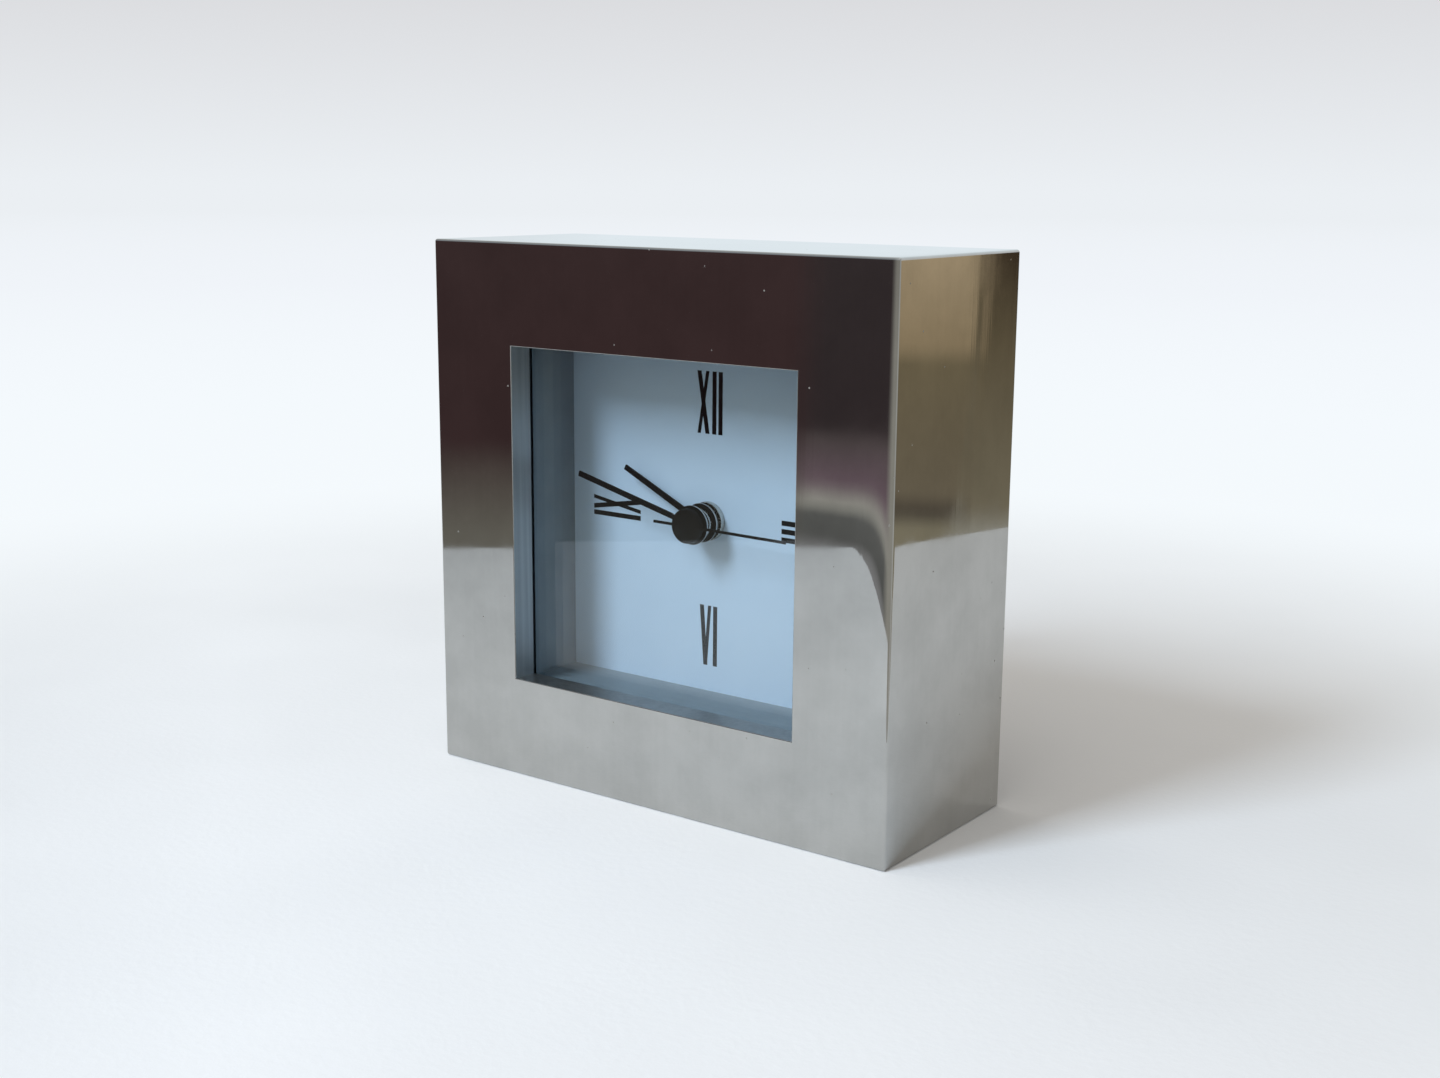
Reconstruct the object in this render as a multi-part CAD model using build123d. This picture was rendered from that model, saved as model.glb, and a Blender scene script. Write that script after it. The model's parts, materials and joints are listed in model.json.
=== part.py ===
from build123d import *
import os
from math import atan2, cos, degrees, pi, radians, sin

# Square desk clock with a one-cell quartz movement, in millimetres.
# The origin is the middle of the case's underside, +Z is up and the window faces -Y.
# A depth is measured backwards from the case's front face. A place on the dial or in the
# movement is (u, v) from the hands' axis, seen from the front: u to the right and v up.

# Case
CASE_WIDTH = 100.0
CASE_HEIGHT = 100.0
CASE_DEPTH = 40.0
CASE_WALL = 5.0
FRONT_THICKNESS = 5.0
EDGE_ROUND = 0.7

# Window, and the stack of seal, pane, spacer frame and dial behind it
WINDOW_SIZE = 62.5
WINDOW_CORNER = 0.5
WINDOW_EDGE_BREAK = 0.25
SEAL_SETBACK = 0.5
SEAL_THICKNESS = 0.8
GLASS_THICKNESS = 2.0
FRAME_SETBACK = 1.05
FRAME_WALL = 1.4
FLANGE_THICKNESS = 1.2
FRAME_DEPTH = 11.7
DIAL_THICKNESS = 1.0

# Back cover, let into a rebate of the case's walls, and its screws
COVER_THICKNESS = 2.0
COVER_RECESS = 1.0
COVER_RIM = 1.0
SKIRT_WALL = 1.6
SKIRT_INSET = 0.8
COVER_SCREW_DIAMETER = 2.0
COVER_SCREW_LENGTH = 9.0
COVER_HEAD_DIAMETER = 3.8
COVER_HEAD_HEIGHT = 1.0
COVER_HEAD_EDGE = 0.4
COVER_HEAD_SIDES = 16

# Movement housing
HOUSING_PLATE = 1.0
HOUSING_WALL = 1.2
HOUSING_CORNER = 1.6
HOUSING_FRONT_DEPTH = 8.0
REAR_PLATE = 1.3
LIP_HEIGHT = 1.2
LIP_WALL = 0.5
POST_DIAMETER = 2.4
POST_HEIGHT = 2.9
BEARING_GAP = 0.6
WASHER_DIAMETER = 14.0
WASHER_THICKNESS = 0.5
BUSH_DIAMETER = 5.6
BUSH_REACH = 1.6
BUSH_FLANGE_DIAMETER = 8.0
BUSH_FLANGE = 0.4
NUT_DIAMETER = 7.2
NUT_HEIGHT = 1.2

# Cell, its bay and its contacts
CELL_DIAMETER = 14.5
CELL_LENGTH = 50.5
CELL_EDGE = 0.6
NUB_DIAMETER = 5.5
NUB_LENGTH = 1.2
BAY_GAP = 1.3
BAY_WALL = 1.0
CONTACT_SPACE = 1.55
CONTACT_THICKNESS = 0.3
CONTACT_WIDTH = 4.0
CONTACT_CREST = 3.2
CONTACT_SLOPE = 1.6
CONTACT_LAP = 6.0

# Gear train: teeth and modules
ROTOR_PINION_TEETH = 8
INTERMEDIATE_WHEEL_TEETH = 48
INTERMEDIATE_PINION_TEETH = 10
SECONDS_WHEEL_TEETH = 50
SECONDS_PINION_TEETH = 8
THIRD_WHEEL_TEETH = 60
THIRD_PINION_TEETH = 8
CENTRE_WHEEL_TEETH = 64
CANNON_TEETH = 10
REVERSER_WHEEL_TEETH = 30
REVERSER_PINION_TEETH = 8
HOUR_WHEEL_TEETH = 32
KNOB_TEETH = 15
ROTOR_MODULE = 0.25
INTERMEDIATE_MODULE = 0.34
THIRD_MODULE = 0.3
MOTION_MODULE = 0.4

# Corners of one tooth: height over the pitch circle in modules, and offset as a share of the pitch
WHEEL_TIP = 0.85
WHEEL_TOOTH = ((WHEEL_TIP, -0.08), (WHEEL_TIP, 0.08), (-1.6, 0.5))
PINION_TOOTH = ((-1.2, -0.36), (0.7, -0.085), (0.7, 0.085), (-1.2, 0.36))

# Where the arbors stand: directions in degrees, anticlockwise from the right
THIRD_DIRECTION = 40.0
INTERMEDIATE_DIRECTION = 150.0
ROTOR_DIRECTION = 165.0
REVERSER_DIRECTION = 200.0
KNOB_DIRECTION = 185.0

# Wheels, arbors and tubes
TRAIN_WHEEL_THICKNESS = 0.8
MOTION_WHEEL_THICKNESS = 1.0
PINION_OVERHANG = 0.2
LAYER_GAP = 0.3
ARBOR_DIAMETER = 0.8
PIVOT_LENGTH = 1.4
SECONDS_ARBOR_DIAMETER = 1.0
CANNON_DIAMETER = 2.6
CLUTCH_DIAMETER = 2.2
CLUTCH_LENGTH = 0.6
CLUTCH_HUB_DIAMETER = 4.0
HOUR_TUBE_DIAMETER = 4.0
STUD_DIAMETER = 1.2

# Setting knob
KNOB_DIAMETER = 11.0
KNOB_HEIGHT = 2.1
KNOB_GAP = 0.3
KNOB_RIDGES = 24
KNOB_RIDGE_DEPTH = 0.4
STEM_DIAMETER = 2.4
STEM_PIVOT_LENGTH = 1.3

# Stepping motor
MAGNET_DIAMETER = 5.6
MAGNET_LENGTH = 2.8
ROTOR_AIR_GAP = 0.5
STATOR_RING_DIAMETER = 9.4
STATOR_ARM = 3.4
STATOR_THICKNESS = 0.8
COIL_RISE = 11.6
COIL_INSET = 3.8
COIL_RIGHT = -3.0
ELBOW_DROP = 6.0
CORE_WIDTH = 3.2
CORE_THICKNESS = 1.2
BOBBIN_INSET = 2.5
BOBBIN_DIAMETER = 4.4
BOBBIN_FLANGE_DIAMETER = 6.4
BOBBIN_FLANGE = 0.8
WINDING_DIAMETER = 5.8
STATOR_POST_DIAMETER = 3.6
STATOR_SCREW_DIAMETER = 1.4
STATOR_SCREW_LENGTH = 5.0
STATOR_HEAD_DIAMETER = 2.6
STATOR_HEAD_HEIGHT = 0.8

# Circuit board and what it carries
BOARD_THICKNESS = 0.8
BOARD_STANDOFF = 7.0
BOARD_STRIP = 4.0
BOARD_COIL_GAP = 0.9
BOARD_BLOCK_WIDTH = 8.0
BOARD_BLOCK_HEIGHT = 22.6
BOARD_EDGE_GAP = 0.2
BOARD_POST_INSET = 2.4
CRYSTAL_DIAMETER = 2.0
CRYSTAL_LENGTH = 6.0
CRYSTAL_RISE = 16.0
CHIP_DIAMETER = 5.2
CHIP_HEIGHT = 1.0
CHIP_EDGE = 0.6
CHIP_RISE = 9.0

# Hands: rest directions are clock angles, in degrees clockwise from twelve
HAND_THICKNESS = 0.4
EYE_DIAMETER = 7.2
HOUR_LENGTH = 19.6
HOUR_ROOT_WIDTH = 1.25
HOUR_TIP_WIDTH = 1.0
HOUR_RISE = 2.3
HOUR_ANGLE = 295.7
COLLET_DIAMETER = 5.6
COLLET_LENGTH = 1.0
MINUTE_LENGTH = 27.4
MINUTE_WIDTH = 1.05
MINUTE_RISE = 2.4
MINUTE_ANGLE = 284.2
SECOND_LENGTH = 21.6
SECOND_TAIL = 7.5
SECOND_WIDTH = 0.52
SECOND_THICKNESS = 0.25
SECOND_RISE = 0.4
SECOND_ANGLE = 90.7
HUB_DIAMETER = 6.3
HUB_LENGTH = 1.1
CAP_THICKNESS = 0.3
CAP_EDGE = 0.15

# Sides of the hidden arbors, posts, pins and bores, which are drawn as prisms
HIDDEN_SIDES = 10

# Clearances
STACK_CLEARANCE = 0.2
COVER_CLEARANCE = 0.3
OPENING_CLEARANCE = 0.8
SCREW_CLEARANCE = 0.1
THREAD_CLEARANCE = 0.05
RUNNING_CLEARANCE = 0.05
END_SHAKE = 0.2
PRESS_CLEARANCE = 0.02
CELL_CLEARANCE = 0.35
LIP_CLEARANCE = 0.1
SLOT_CLEARANCE = 0.1
DIAL_HOLE_CLEARANCE = 0.2

# Case and stack, worked out
axis_height = CASE_HEIGHT / 2
pocket_width = CASE_WIDTH - 2 * CASE_WALL
pocket_height = CASE_HEIGHT - 2 * CASE_WALL
frame_opening = WINDOW_SIZE + 2 * FRAME_SETBACK
frame_outside = frame_opening + 2 * FRAME_WALL
stack = (pocket_width - 2 * STACK_CLEARANCE, pocket_height - 2 * STACK_CLEARANCE)
rebate = (CASE_WIDTH - 2 * COVER_RIM, CASE_HEIGHT - 2 * COVER_RIM)
cover_size = (rebate[0] - 2 * COVER_CLEARANCE, rebate[1] - 2 * COVER_CLEARANCE)
screw_inset = COVER_HEAD_DIAMETER / 2 + COVER_HEAD_EDGE
screw_u = cover_size[0] / 2 - screw_inset
screw_v = cover_size[1] / 2 - screw_inset
screw_places = [(u, v) for u in (-screw_u, screw_u) for v in (-screw_v, screw_v)]
cover_far = CASE_DEPTH - COVER_RECESS
cover_near = cover_far - COVER_THICKNESS
glass_near = FRONT_THICKNESS + SEAL_THICKNESS
glass_far = glass_near + GLASS_THICKNESS
dial_near = glass_far + FRAME_DEPTH
dial_far = dial_near + DIAL_THICKNESS

# Housing's depths and cell bay, worked out
movement_near = dial_far + WASHER_THICKNESS
plate_far = movement_near + HOUSING_PLATE
movement_far = plate_far + CELL_DIAMETER
rear_near = movement_far - REAR_PLATE
split = movement_near + HOUSING_FRONT_DEPTH
inner_half = CELL_LENGTH / 2 + CONTACT_SPACE
housing_width = 2 * (inner_half + HOUSING_WALL)
cell_depth = plate_far + CELL_DIAMETER / 2
post_far = plate_far + POST_HEIGHT
arbor_near = post_far - PIVOT_LENGTH

# Layers of the train, from the front plate backwards
hour_wheel_near = plate_far + BUSH_FLANGE + LAYER_GAP
hour_wheel_far = hour_wheel_near + MOTION_WHEEL_THICKNESS
reverser_near = hour_wheel_far + PINION_OVERHANG + LAYER_GAP
reverser_far = reverser_near + MOTION_WHEEL_THICKNESS
cannon_near = reverser_near - PINION_OVERHANG
cannon_far = reverser_far + PINION_OVERHANG
centre_near = cannon_far + LAYER_GAP
centre_far = centre_near + TRAIN_WHEEL_THICKNESS
clutch_far = centre_far + CLUTCH_LENGTH
third_near = clutch_far + PINION_OVERHANG + LAYER_GAP
third_far = third_near + TRAIN_WHEEL_THICKNESS
seconds_near = third_far + PINION_OVERHANG + LAYER_GAP
seconds_far = seconds_near + TRAIN_WHEEL_THICKNESS
intermediate_near = seconds_far + PINION_OVERHANG + LAYER_GAP
intermediate_far = intermediate_near + TRAIN_WHEEL_THICKNESS
bearing_near = intermediate_far + PINION_OVERHANG + BEARING_GAP
arbor_far = bearing_near + PIVOT_LENGTH
rotor_pinion_near = intermediate_near - PINION_OVERHANG
magnet_far = rotor_pinion_near - LAYER_GAP
magnet_near = magnet_far - MAGNET_LENGTH
stator_near = (magnet_near + magnet_far - STATOR_THICKNESS) / 2
stator_far = stator_near + STATOR_THICKNESS
core_far = stator_far + CORE_THICKNESS
coil_depth = (stator_far + core_far) / 2
board_near = plate_far + BOARD_STANDOFF
board_far = board_near + BOARD_THICKNESS
board_half = inner_half - CONTACT_THICKNESS
board_u = board_half - BOARD_BLOCK_WIDTH / 2

# Hands and tubes on the axis, from the dial forwards
bush_near = dial_near - BUSH_REACH
hour_far = dial_near - HOUR_RISE
hour_near = hour_far - HAND_THICKNESS
collet_near = hour_near - COLLET_LENGTH
minute_far = hour_near - MINUTE_RISE
minute_near = minute_far - HAND_THICKNESS
hub_far = minute_near - SECOND_RISE
hub_near = hub_far - HUB_LENGTH
cap_near = hub_near - CAP_THICKNESS
cannon_bore = SECONDS_ARBOR_DIAMETER + 2 * RUNNING_CLEARANCE
hour_bore = CANNON_DIAMETER + 2 * RUNNING_CLEARANCE
bush_bore = HOUR_TUBE_DIAMETER + 2 * RUNNING_CLEARANCE
dial_bore = BUSH_DIAMETER + 2 * DIAL_HOLE_CLEARANCE


def polar(distance, direction, start=(0.0, 0.0)):
    """The place at a distance and direction, in degrees, from another place."""
    angle = radians(direction)
    return (start[0] + distance * cos(angle), start[1] + distance * sin(angle))


def spacing(module, teeth, other_teeth):
    """Distance between the arbors of two gears in mesh."""
    return module * (teeth + other_teeth) / 2


# The third arbor stands where both of its meshes have the same spacing from the centre
third_spacing = spacing(THIRD_MODULE, SECONDS_PINION_TEETH, THIRD_WHEEL_TEETH)
centre_module = 2 * third_spacing / (THIRD_PINION_TEETH + CENTRE_WHEEL_TEETH)
reverser_spacing = spacing(MOTION_MODULE, CANNON_TEETH, REVERSER_WHEEL_TEETH)
hour_module = 2 * reverser_spacing / (REVERSER_PINION_TEETH + HOUR_WHEEL_TEETH)

CENTRE = (0.0, 0.0)
third_place = polar(third_spacing, THIRD_DIRECTION)
intermediate_place = polar(
    spacing(INTERMEDIATE_MODULE, INTERMEDIATE_PINION_TEETH, SECONDS_WHEEL_TEETH), INTERMEDIATE_DIRECTION)
rotor_place = polar(
    spacing(ROTOR_MODULE, ROTOR_PINION_TEETH, INTERMEDIATE_WHEEL_TEETH),
    ROTOR_DIRECTION, intermediate_place)
reverser_place = polar(reverser_spacing, REVERSER_DIRECTION)
knob_place = polar(
    spacing(MOTION_MODULE, KNOB_TEETH, REVERSER_WHEEL_TEETH), KNOB_DIRECTION, reverser_place)
arbor_places = (third_place, intermediate_place, rotor_place)

# The housing's height follows from what it holds: coil and board above, the cell below
coil_left = COIL_INSET - inner_half
coil_v = rotor_place[1] + COIL_RISE
coil_ends = ((coil_left, coil_v), (COIL_RIGHT, coil_v))
bobbin_left = coil_left + BOBBIN_INSET
bobbin_right = COIL_RIGHT - BOBBIN_INSET
board_bottom_edge = coil_v + BOBBIN_FLANGE_DIAMETER / 2 + BOARD_COIL_GAP
board_top = board_bottom_edge + BOARD_STRIP
board_post_u = board_half - BOARD_POST_INSET
board_post_places = (
    (board_post_u, board_top - BOARD_POST_INSET),
    (board_post_u, board_top - BOARD_BLOCK_HEIGHT + BOARD_POST_INSET),
    (-board_post_u, board_top - BOARD_POST_INSET),
)
inner_top = board_top + BOARD_EDGE_GAP
centre_wheel_radius = centre_module * (CENTRE_WHEEL_TEETH / 2 + WHEEL_TIP)
bay_wall_v = -centre_wheel_radius - BAY_GAP - BAY_WALL / 2
cell_v = bay_wall_v - BAY_WALL / 2 - CELL_CLEARANCE - CELL_DIAMETER / 2
bay_bottom = cell_v - CELL_DIAMETER / 2 - CELL_CLEARANCE
housing_height = inner_top - bay_bottom + 2 * HOUSING_WALL
housing_v = (inner_top + bay_bottom) / 2


def face_at(depth):
    """Upright plane at a depth, seen from the front and centred on the hands' axis."""
    return Plane((0, depth - CASE_DEPTH / 2, axis_height), x_dir=(1, 0, 0), z_dir=(0, -1, 0))


def slab(outline, near, far):
    """A flat outline made solid between two depths."""
    return extrude(face_at(far) * outline, far - near)


def disc(place, diameter, near, far):
    """A round bar along the depth."""
    return slab(Pos(*place) * Circle(diameter / 2), near, far)


def prism(diameter):
    """Outline of a hidden round bar: its corners lie on the circle."""
    return RegularPolygon(diameter / 2, HIDDEN_SIDES)


def bore(diameter):
    """Outline of a hidden round hole: its sides lie on the circle."""
    return RegularPolygon(diameter / 2, HIDDEN_SIDES, major_radius=False)


def rod(place, diameter, near, far):
    """A hidden round bar along the depth."""
    return slab(Pos(*place) * prism(diameter), near, far)


def hole(place, diameter, near, far):
    """What a hidden round hole takes away along the depth."""
    return slab(Pos(*place) * bore(diameter), near, far)


def bar(outline, start, end, v, depth):
    """An outline made solid from left to right."""
    plane = Plane((start, depth - CASE_DEPTH / 2, axis_height + v), x_dir=(0, 1, 0), z_dir=(1, 0, 0))
    return extrude(plane * outline, end - start)


def border(outside, inside):
    """A rectangle with a rectangular opening, each given as width and height."""
    return Rectangle(*outside) - Rectangle(*inside)


def direction_between(start, end):
    """Direction from one place to another, in radians."""
    return atan2(end[1] - start[1], end[0] - start[0])


def mesh_phase(teeth, phase, start, end, other_teeth):
    """Where a tooth of the second gear points, so that it meets a gap of the first."""
    line = direction_between(start, end)
    return line + pi - teeth / other_teeth * (phase - line) + pi / other_teeth


def gear(place, teeth, module, phase, corners, near, far):
    """A toothed disc that repeats one tooth's corners."""
    points = []
    for tooth in range(teeth):
        for height, offset in corners:
            radius = module * (teeth / 2 + height)
            angle = phase + 2 * pi * (tooth + offset) / teeth
            points.append((radius * cos(angle), radius * sin(angle)))
    outline = make_face(Polyline(*points, close=True))
    return slab(Pos(*place) * outline, near, far)


def case_shell():
    """Case: a rounded block, hollow from the back, with a rebate for the cover and the window."""
    block = slab(Rectangle(CASE_WIDTH, CASE_HEIGHT), 0, CASE_DEPTH)
    block = fillet(block.edges(), EDGE_ROUND)
    block -= slab(Rectangle(pocket_width, pocket_height), FRONT_THICKNESS, cover_near)
    block -= slab(Rectangle(*rebate), cover_near, CASE_DEPTH)
    block -= slab(RectangleRounded(WINDOW_SIZE, WINDOW_SIZE, WINDOW_CORNER), 0, FRONT_THICKNESS)
    front = block.faces().sort_by(Axis.Y)[0]
    block = chamfer(front.inner_wires()[0].edges(), WINDOW_EDGE_BREAK)
    thread_near = cover_far - COVER_SCREW_LENGTH - END_SHAKE
    for place in screw_places:
        block -= hole(place, COVER_SCREW_DIAMETER + 2 * THREAD_CLEARANCE, thread_near, cover_near)
    return block


def spacer_frame():
    """Frame that holds the dial back from the pane, flanged at both ends."""
    opening = (frame_opening, frame_opening)
    wall = slab(border((frame_outside, frame_outside), opening), glass_far, dial_near)
    flange = border(stack, opening)
    front = slab(flange, glass_far, glass_far + FLANGE_THICKNESS)
    back = slab(flange, dial_near - FLANGE_THICKNESS, dial_near)
    return wall + front + back


def screw_head(clearance):
    """Countersunk head of a cover screw, or its seat with a clearance all round, as a pyramid's frustum."""
    outline = RegularPolygon(COVER_HEAD_DIAMETER / 2 + clearance, COVER_HEAD_SIDES)
    slope = atan2(COVER_HEAD_DIAMETER - COVER_SCREW_DIAMETER, 2 * COVER_HEAD_HEIGHT)
    return extrude(face_at(cover_far) * outline, COVER_HEAD_HEIGHT, taper=degrees(slope))


def shifted(solid, place):
    """A solid made on the hands' axis, moved to a place."""
    return Pos(place[0], 0, place[1]) * solid


def back_cover():
    """Cover in the case's rebate, with a skirt that presses the stack forward."""
    opening = Pos(0, housing_v) * RectangleRounded(
        housing_width + 2 * OPENING_CLEARANCE, housing_height + 2 * OPENING_CLEARANCE,
        HOUSING_CORNER + OPENING_CLEARANCE)
    cover = slab(Rectangle(*cover_size) - opening, cover_near, cover_far)
    skirt_outside = (stack[0] - 2 * SKIRT_INSET, stack[1] - 2 * SKIRT_INSET)
    skirt_inside = (skirt_outside[0] - 2 * SKIRT_WALL, skirt_outside[1] - 2 * SKIRT_WALL)
    cover += slab(border(skirt_outside, skirt_inside), dial_far, cover_near)
    seat = screw_head(SCREW_CLEARANCE)
    for place in screw_places:
        cover -= shifted(seat, place)
        cover -= hole(place, COVER_SCREW_DIAMETER + 2 * SCREW_CLEARANCE, cover_near, cover_far)
    return cover


def cover_screws():
    """Four countersunk screws."""
    screw = rod(CENTRE, COVER_SCREW_DIAMETER, cover_far - COVER_SCREW_LENGTH, cover_far - COVER_HEAD_HEIGHT)
    screw += screw_head(0)
    return Compound(children=[shifted(screw, place) for place in screw_places])


def housing_outline():
    """The housing's outline, with rounded corners."""
    return Pos(0, housing_v) * RectangleRounded(housing_width, housing_height, HOUSING_CORNER)


def housing_inside(inset):
    """A square-cornered outline, drawn in from the housing's outside."""
    return Pos(0, housing_v) * Rectangle(housing_width - 2 * inset, housing_height - 2 * inset)


def bay_wall():
    """Wall between the cell and the train, open at both ends for the contacts."""
    outline = Pos(0, bay_wall_v) * Rectangle(CELL_LENGTH + 2 * CELL_CLEARANCE, BAY_WALL)
    return slab(outline, plate_far, rear_near)


def movement_front():
    """Front half of the housing: plate, walls with a lip, posts, stud and bay wall."""
    inside = housing_inside(HOUSING_WALL)
    body = slab(housing_outline(), movement_near, split) - slab(inside, plate_far, split)
    body += slab(housing_inside(HOUSING_WALL - LIP_WALL) - inside, split, split + LIP_HEIGHT)
    body += bay_wall()
    body -= hole(CENTRE, BUSH_DIAMETER + 2 * PRESS_CLEARANCE, movement_near, plate_far)
    for place in arbor_places:
        body += rod(place, POST_DIAMETER, plate_far, post_far)
        body -= hole(place, ARBOR_DIAMETER + 2 * RUNNING_CLEARANCE, arbor_near - END_SHAKE, post_far)
    body += rod(reverser_place, STUD_DIAMETER, plate_far, reverser_far + LAYER_GAP)
    stem_end = reverser_near - STEM_PIVOT_LENGTH - END_SHAKE
    body += rod(knob_place, POST_DIAMETER, plate_far, reverser_near - LAYER_GAP)
    body -= hole(knob_place, STUD_DIAMETER + 2 * RUNNING_CLEARANCE, stem_end, reverser_near - LAYER_GAP)
    thread_near = core_far - STATOR_SCREW_LENGTH - END_SHAKE
    for place in coil_ends:
        body += rod(place, STATOR_POST_DIAMETER, plate_far, stator_near)
        body -= hole(place, STATOR_SCREW_DIAMETER + 2 * THREAD_CLEARANCE, thread_near, stator_near)
    for place in board_post_places:
        body += rod(place, POST_DIAMETER, plate_far, board_near)
    return body


def movement_rear():
    """Rear half of the housing: cover plate with the bay's opening, walls and bearings."""
    inside = housing_inside(HOUSING_WALL)
    body = slab(housing_outline(), split, movement_far) - slab(inside, split, rear_near)
    lip_seat = housing_inside(HOUSING_WALL - LIP_WALL - LIP_CLEARANCE)
    body -= slab(lip_seat, split, split + LIP_HEIGHT + LIP_CLEARANCE)
    opening = Pos(0, cell_v) * Rectangle(
        CELL_LENGTH + CONTACT_SPACE, CELL_DIAMETER + 2 * CELL_CLEARANCE)
    body -= slab(opening, rear_near, movement_far)
    bearings = [(place, ARBOR_DIAMETER) for place in arbor_places] + [(CENTRE, SECONDS_ARBOR_DIAMETER)]
    for place, diameter in bearings:
        body += rod(place, POST_DIAMETER, bearing_near, rear_near)
        body -= hole(place, diameter + 2 * RUNNING_CLEARANCE, bearing_near, arbor_far + END_SHAKE)
    body -= hole(knob_place, STEM_DIAMETER + 2 * RUNNING_CLEARANCE, rear_near, movement_far)
    return body


def centre_bush():
    """Threaded tube through the dial, flanged inside the front plate."""
    flange_far = plate_far + BUSH_FLANGE
    body = disc(CENTRE, BUSH_DIAMETER, bush_near, plate_far)
    body += rod(CENTRE, BUSH_FLANGE_DIAMETER, plate_far, flange_far)
    return body - hole(CENTRE, bush_bore, bush_near, flange_far)


def rotor_arbor():
    """Rotor's arbor and pinion."""
    phase = mesh_phase(
        INTERMEDIATE_WHEEL_TEETH, 0, intermediate_place, rotor_place, ROTOR_PINION_TEETH)
    body = rod(rotor_place, ARBOR_DIAMETER, arbor_near, arbor_far)
    return body + gear(rotor_place, ROTOR_PINION_TEETH, ROTOR_MODULE, phase, PINION_TOOTH,
                       rotor_pinion_near, intermediate_far + PINION_OVERHANG)


def rotor_magnet():
    """Ring magnet pressed on the rotor's arbor."""
    outline = prism(MAGNET_DIAMETER) - bore(ARBOR_DIAMETER)
    return slab(Pos(*rotor_place) * outline, magnet_near, magnet_far)


def intermediate_wheel():
    """Wheel driven by the rotor, with the pinion that drives the seconds wheel."""
    phase = mesh_phase(
        SECONDS_WHEEL_TEETH, 0, CENTRE, intermediate_place, INTERMEDIATE_PINION_TEETH)
    body = rod(intermediate_place, ARBOR_DIAMETER, arbor_near, arbor_far)
    body += gear(intermediate_place, INTERMEDIATE_PINION_TEETH, INTERMEDIATE_MODULE, phase, PINION_TOOTH,
                 seconds_near - PINION_OVERHANG, intermediate_near)
    return body + gear(intermediate_place, INTERMEDIATE_WHEEL_TEETH, ROTOR_MODULE, 0, WHEEL_TOOTH,
                       intermediate_near, intermediate_far)


def seconds_wheel():
    """Seconds arbor, right through the hands, with its wheel and pinion."""
    body = gear(CENTRE, SECONDS_WHEEL_TEETH, INTERMEDIATE_MODULE, 0, WHEEL_TOOTH, seconds_near, seconds_far)
    body += gear(CENTRE, SECONDS_PINION_TEETH, THIRD_MODULE, 0, PINION_TOOTH,
                 third_near - PINION_OVERHANG, seconds_near)
    return body + rod(CENTRE, SECONDS_ARBOR_DIAMETER, hub_near + SECOND_THICKNESS, arbor_far)


def third_wheel():
    """Wheel driven by the seconds pinion, with the pinion that drives the centre wheel."""
    phase = mesh_phase(SECONDS_PINION_TEETH, 0, CENTRE, third_place, THIRD_WHEEL_TEETH)
    body = gear(third_place, THIRD_WHEEL_TEETH, THIRD_MODULE, phase, WHEEL_TOOTH, third_near, third_far)
    body += gear(third_place, THIRD_PINION_TEETH, centre_module, 0, PINION_TOOTH,
                 centre_near - PINION_OVERHANG, third_near)
    return body + rod(third_place, ARBOR_DIAMETER, arbor_near, arbor_far)


def centre_wheel():
    """Minute train's last wheel, a slipping fit on the cannon pinion's sleeve."""
    phase = mesh_phase(THIRD_PINION_TEETH, 0, third_place, CENTRE, CENTRE_WHEEL_TEETH)
    body = gear(CENTRE, CENTRE_WHEEL_TEETH, centre_module, phase, WHEEL_TOOTH, centre_near, centre_far)
    body += rod(CENTRE, CLUTCH_HUB_DIAMETER, centre_near, clutch_far)
    return body - hole(CENTRE, CLUTCH_DIAMETER + 2 * PRESS_CLEARANCE, centre_near, clutch_far)


def cannon_pinion():
    """Tube that carries the minute hand, its pinion, and the sleeve inside the centre wheel."""
    body = disc(CENTRE, CANNON_DIAMETER, minute_near, cannon_near)
    body += gear(CENTRE, CANNON_TEETH, MOTION_MODULE, 0, PINION_TOOTH, cannon_near, cannon_far)
    body += rod(CENTRE, CLUTCH_DIAMETER, cannon_far, clutch_far)
    return body - hole(CENTRE, cannon_bore, minute_near, clutch_far)


def reverser_phase():
    """Where a tooth of the reverser wheel points."""
    return mesh_phase(CANNON_TEETH, 0, CENTRE, reverser_place, REVERSER_WHEEL_TEETH)


def reverser_wheel():
    """Wheel between cannon pinion and hour wheel, turning on the front plate's stud."""
    body = gear(reverser_place, REVERSER_WHEEL_TEETH, MOTION_MODULE, reverser_phase(), WHEEL_TOOTH,
                reverser_near, reverser_far)
    body += gear(reverser_place, REVERSER_PINION_TEETH, hour_module, 0, PINION_TOOTH,
                 hour_wheel_near - PINION_OVERHANG, reverser_near)
    return body - hole(reverser_place, STUD_DIAMETER + 2 * RUNNING_CLEARANCE,
                       hour_wheel_near - PINION_OVERHANG, reverser_far)


def hour_wheel():
    """Hour wheel and the tube that carries the hour hand."""
    phase = mesh_phase(REVERSER_PINION_TEETH, 0, reverser_place, CENTRE, HOUR_WHEEL_TEETH)
    body = gear(CENTRE, HOUR_WHEEL_TEETH, hour_module, phase, WHEEL_TOOTH, hour_wheel_near, hour_wheel_far)
    body += rod(CENTRE, HOUR_TUBE_DIAMETER, collet_near, hour_wheel_near)
    return body - hole(CENTRE, hour_bore, collet_near, hour_wheel_far)


ridge_depth = KNOB_RIDGE_DEPTH * KNOB_RIDGES / KNOB_DIAMETER
knob_ridge = ((0.0, -0.22), (0.0, 0.22), (-ridge_depth, 0.4), (-ridge_depth, 0.6))


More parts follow.
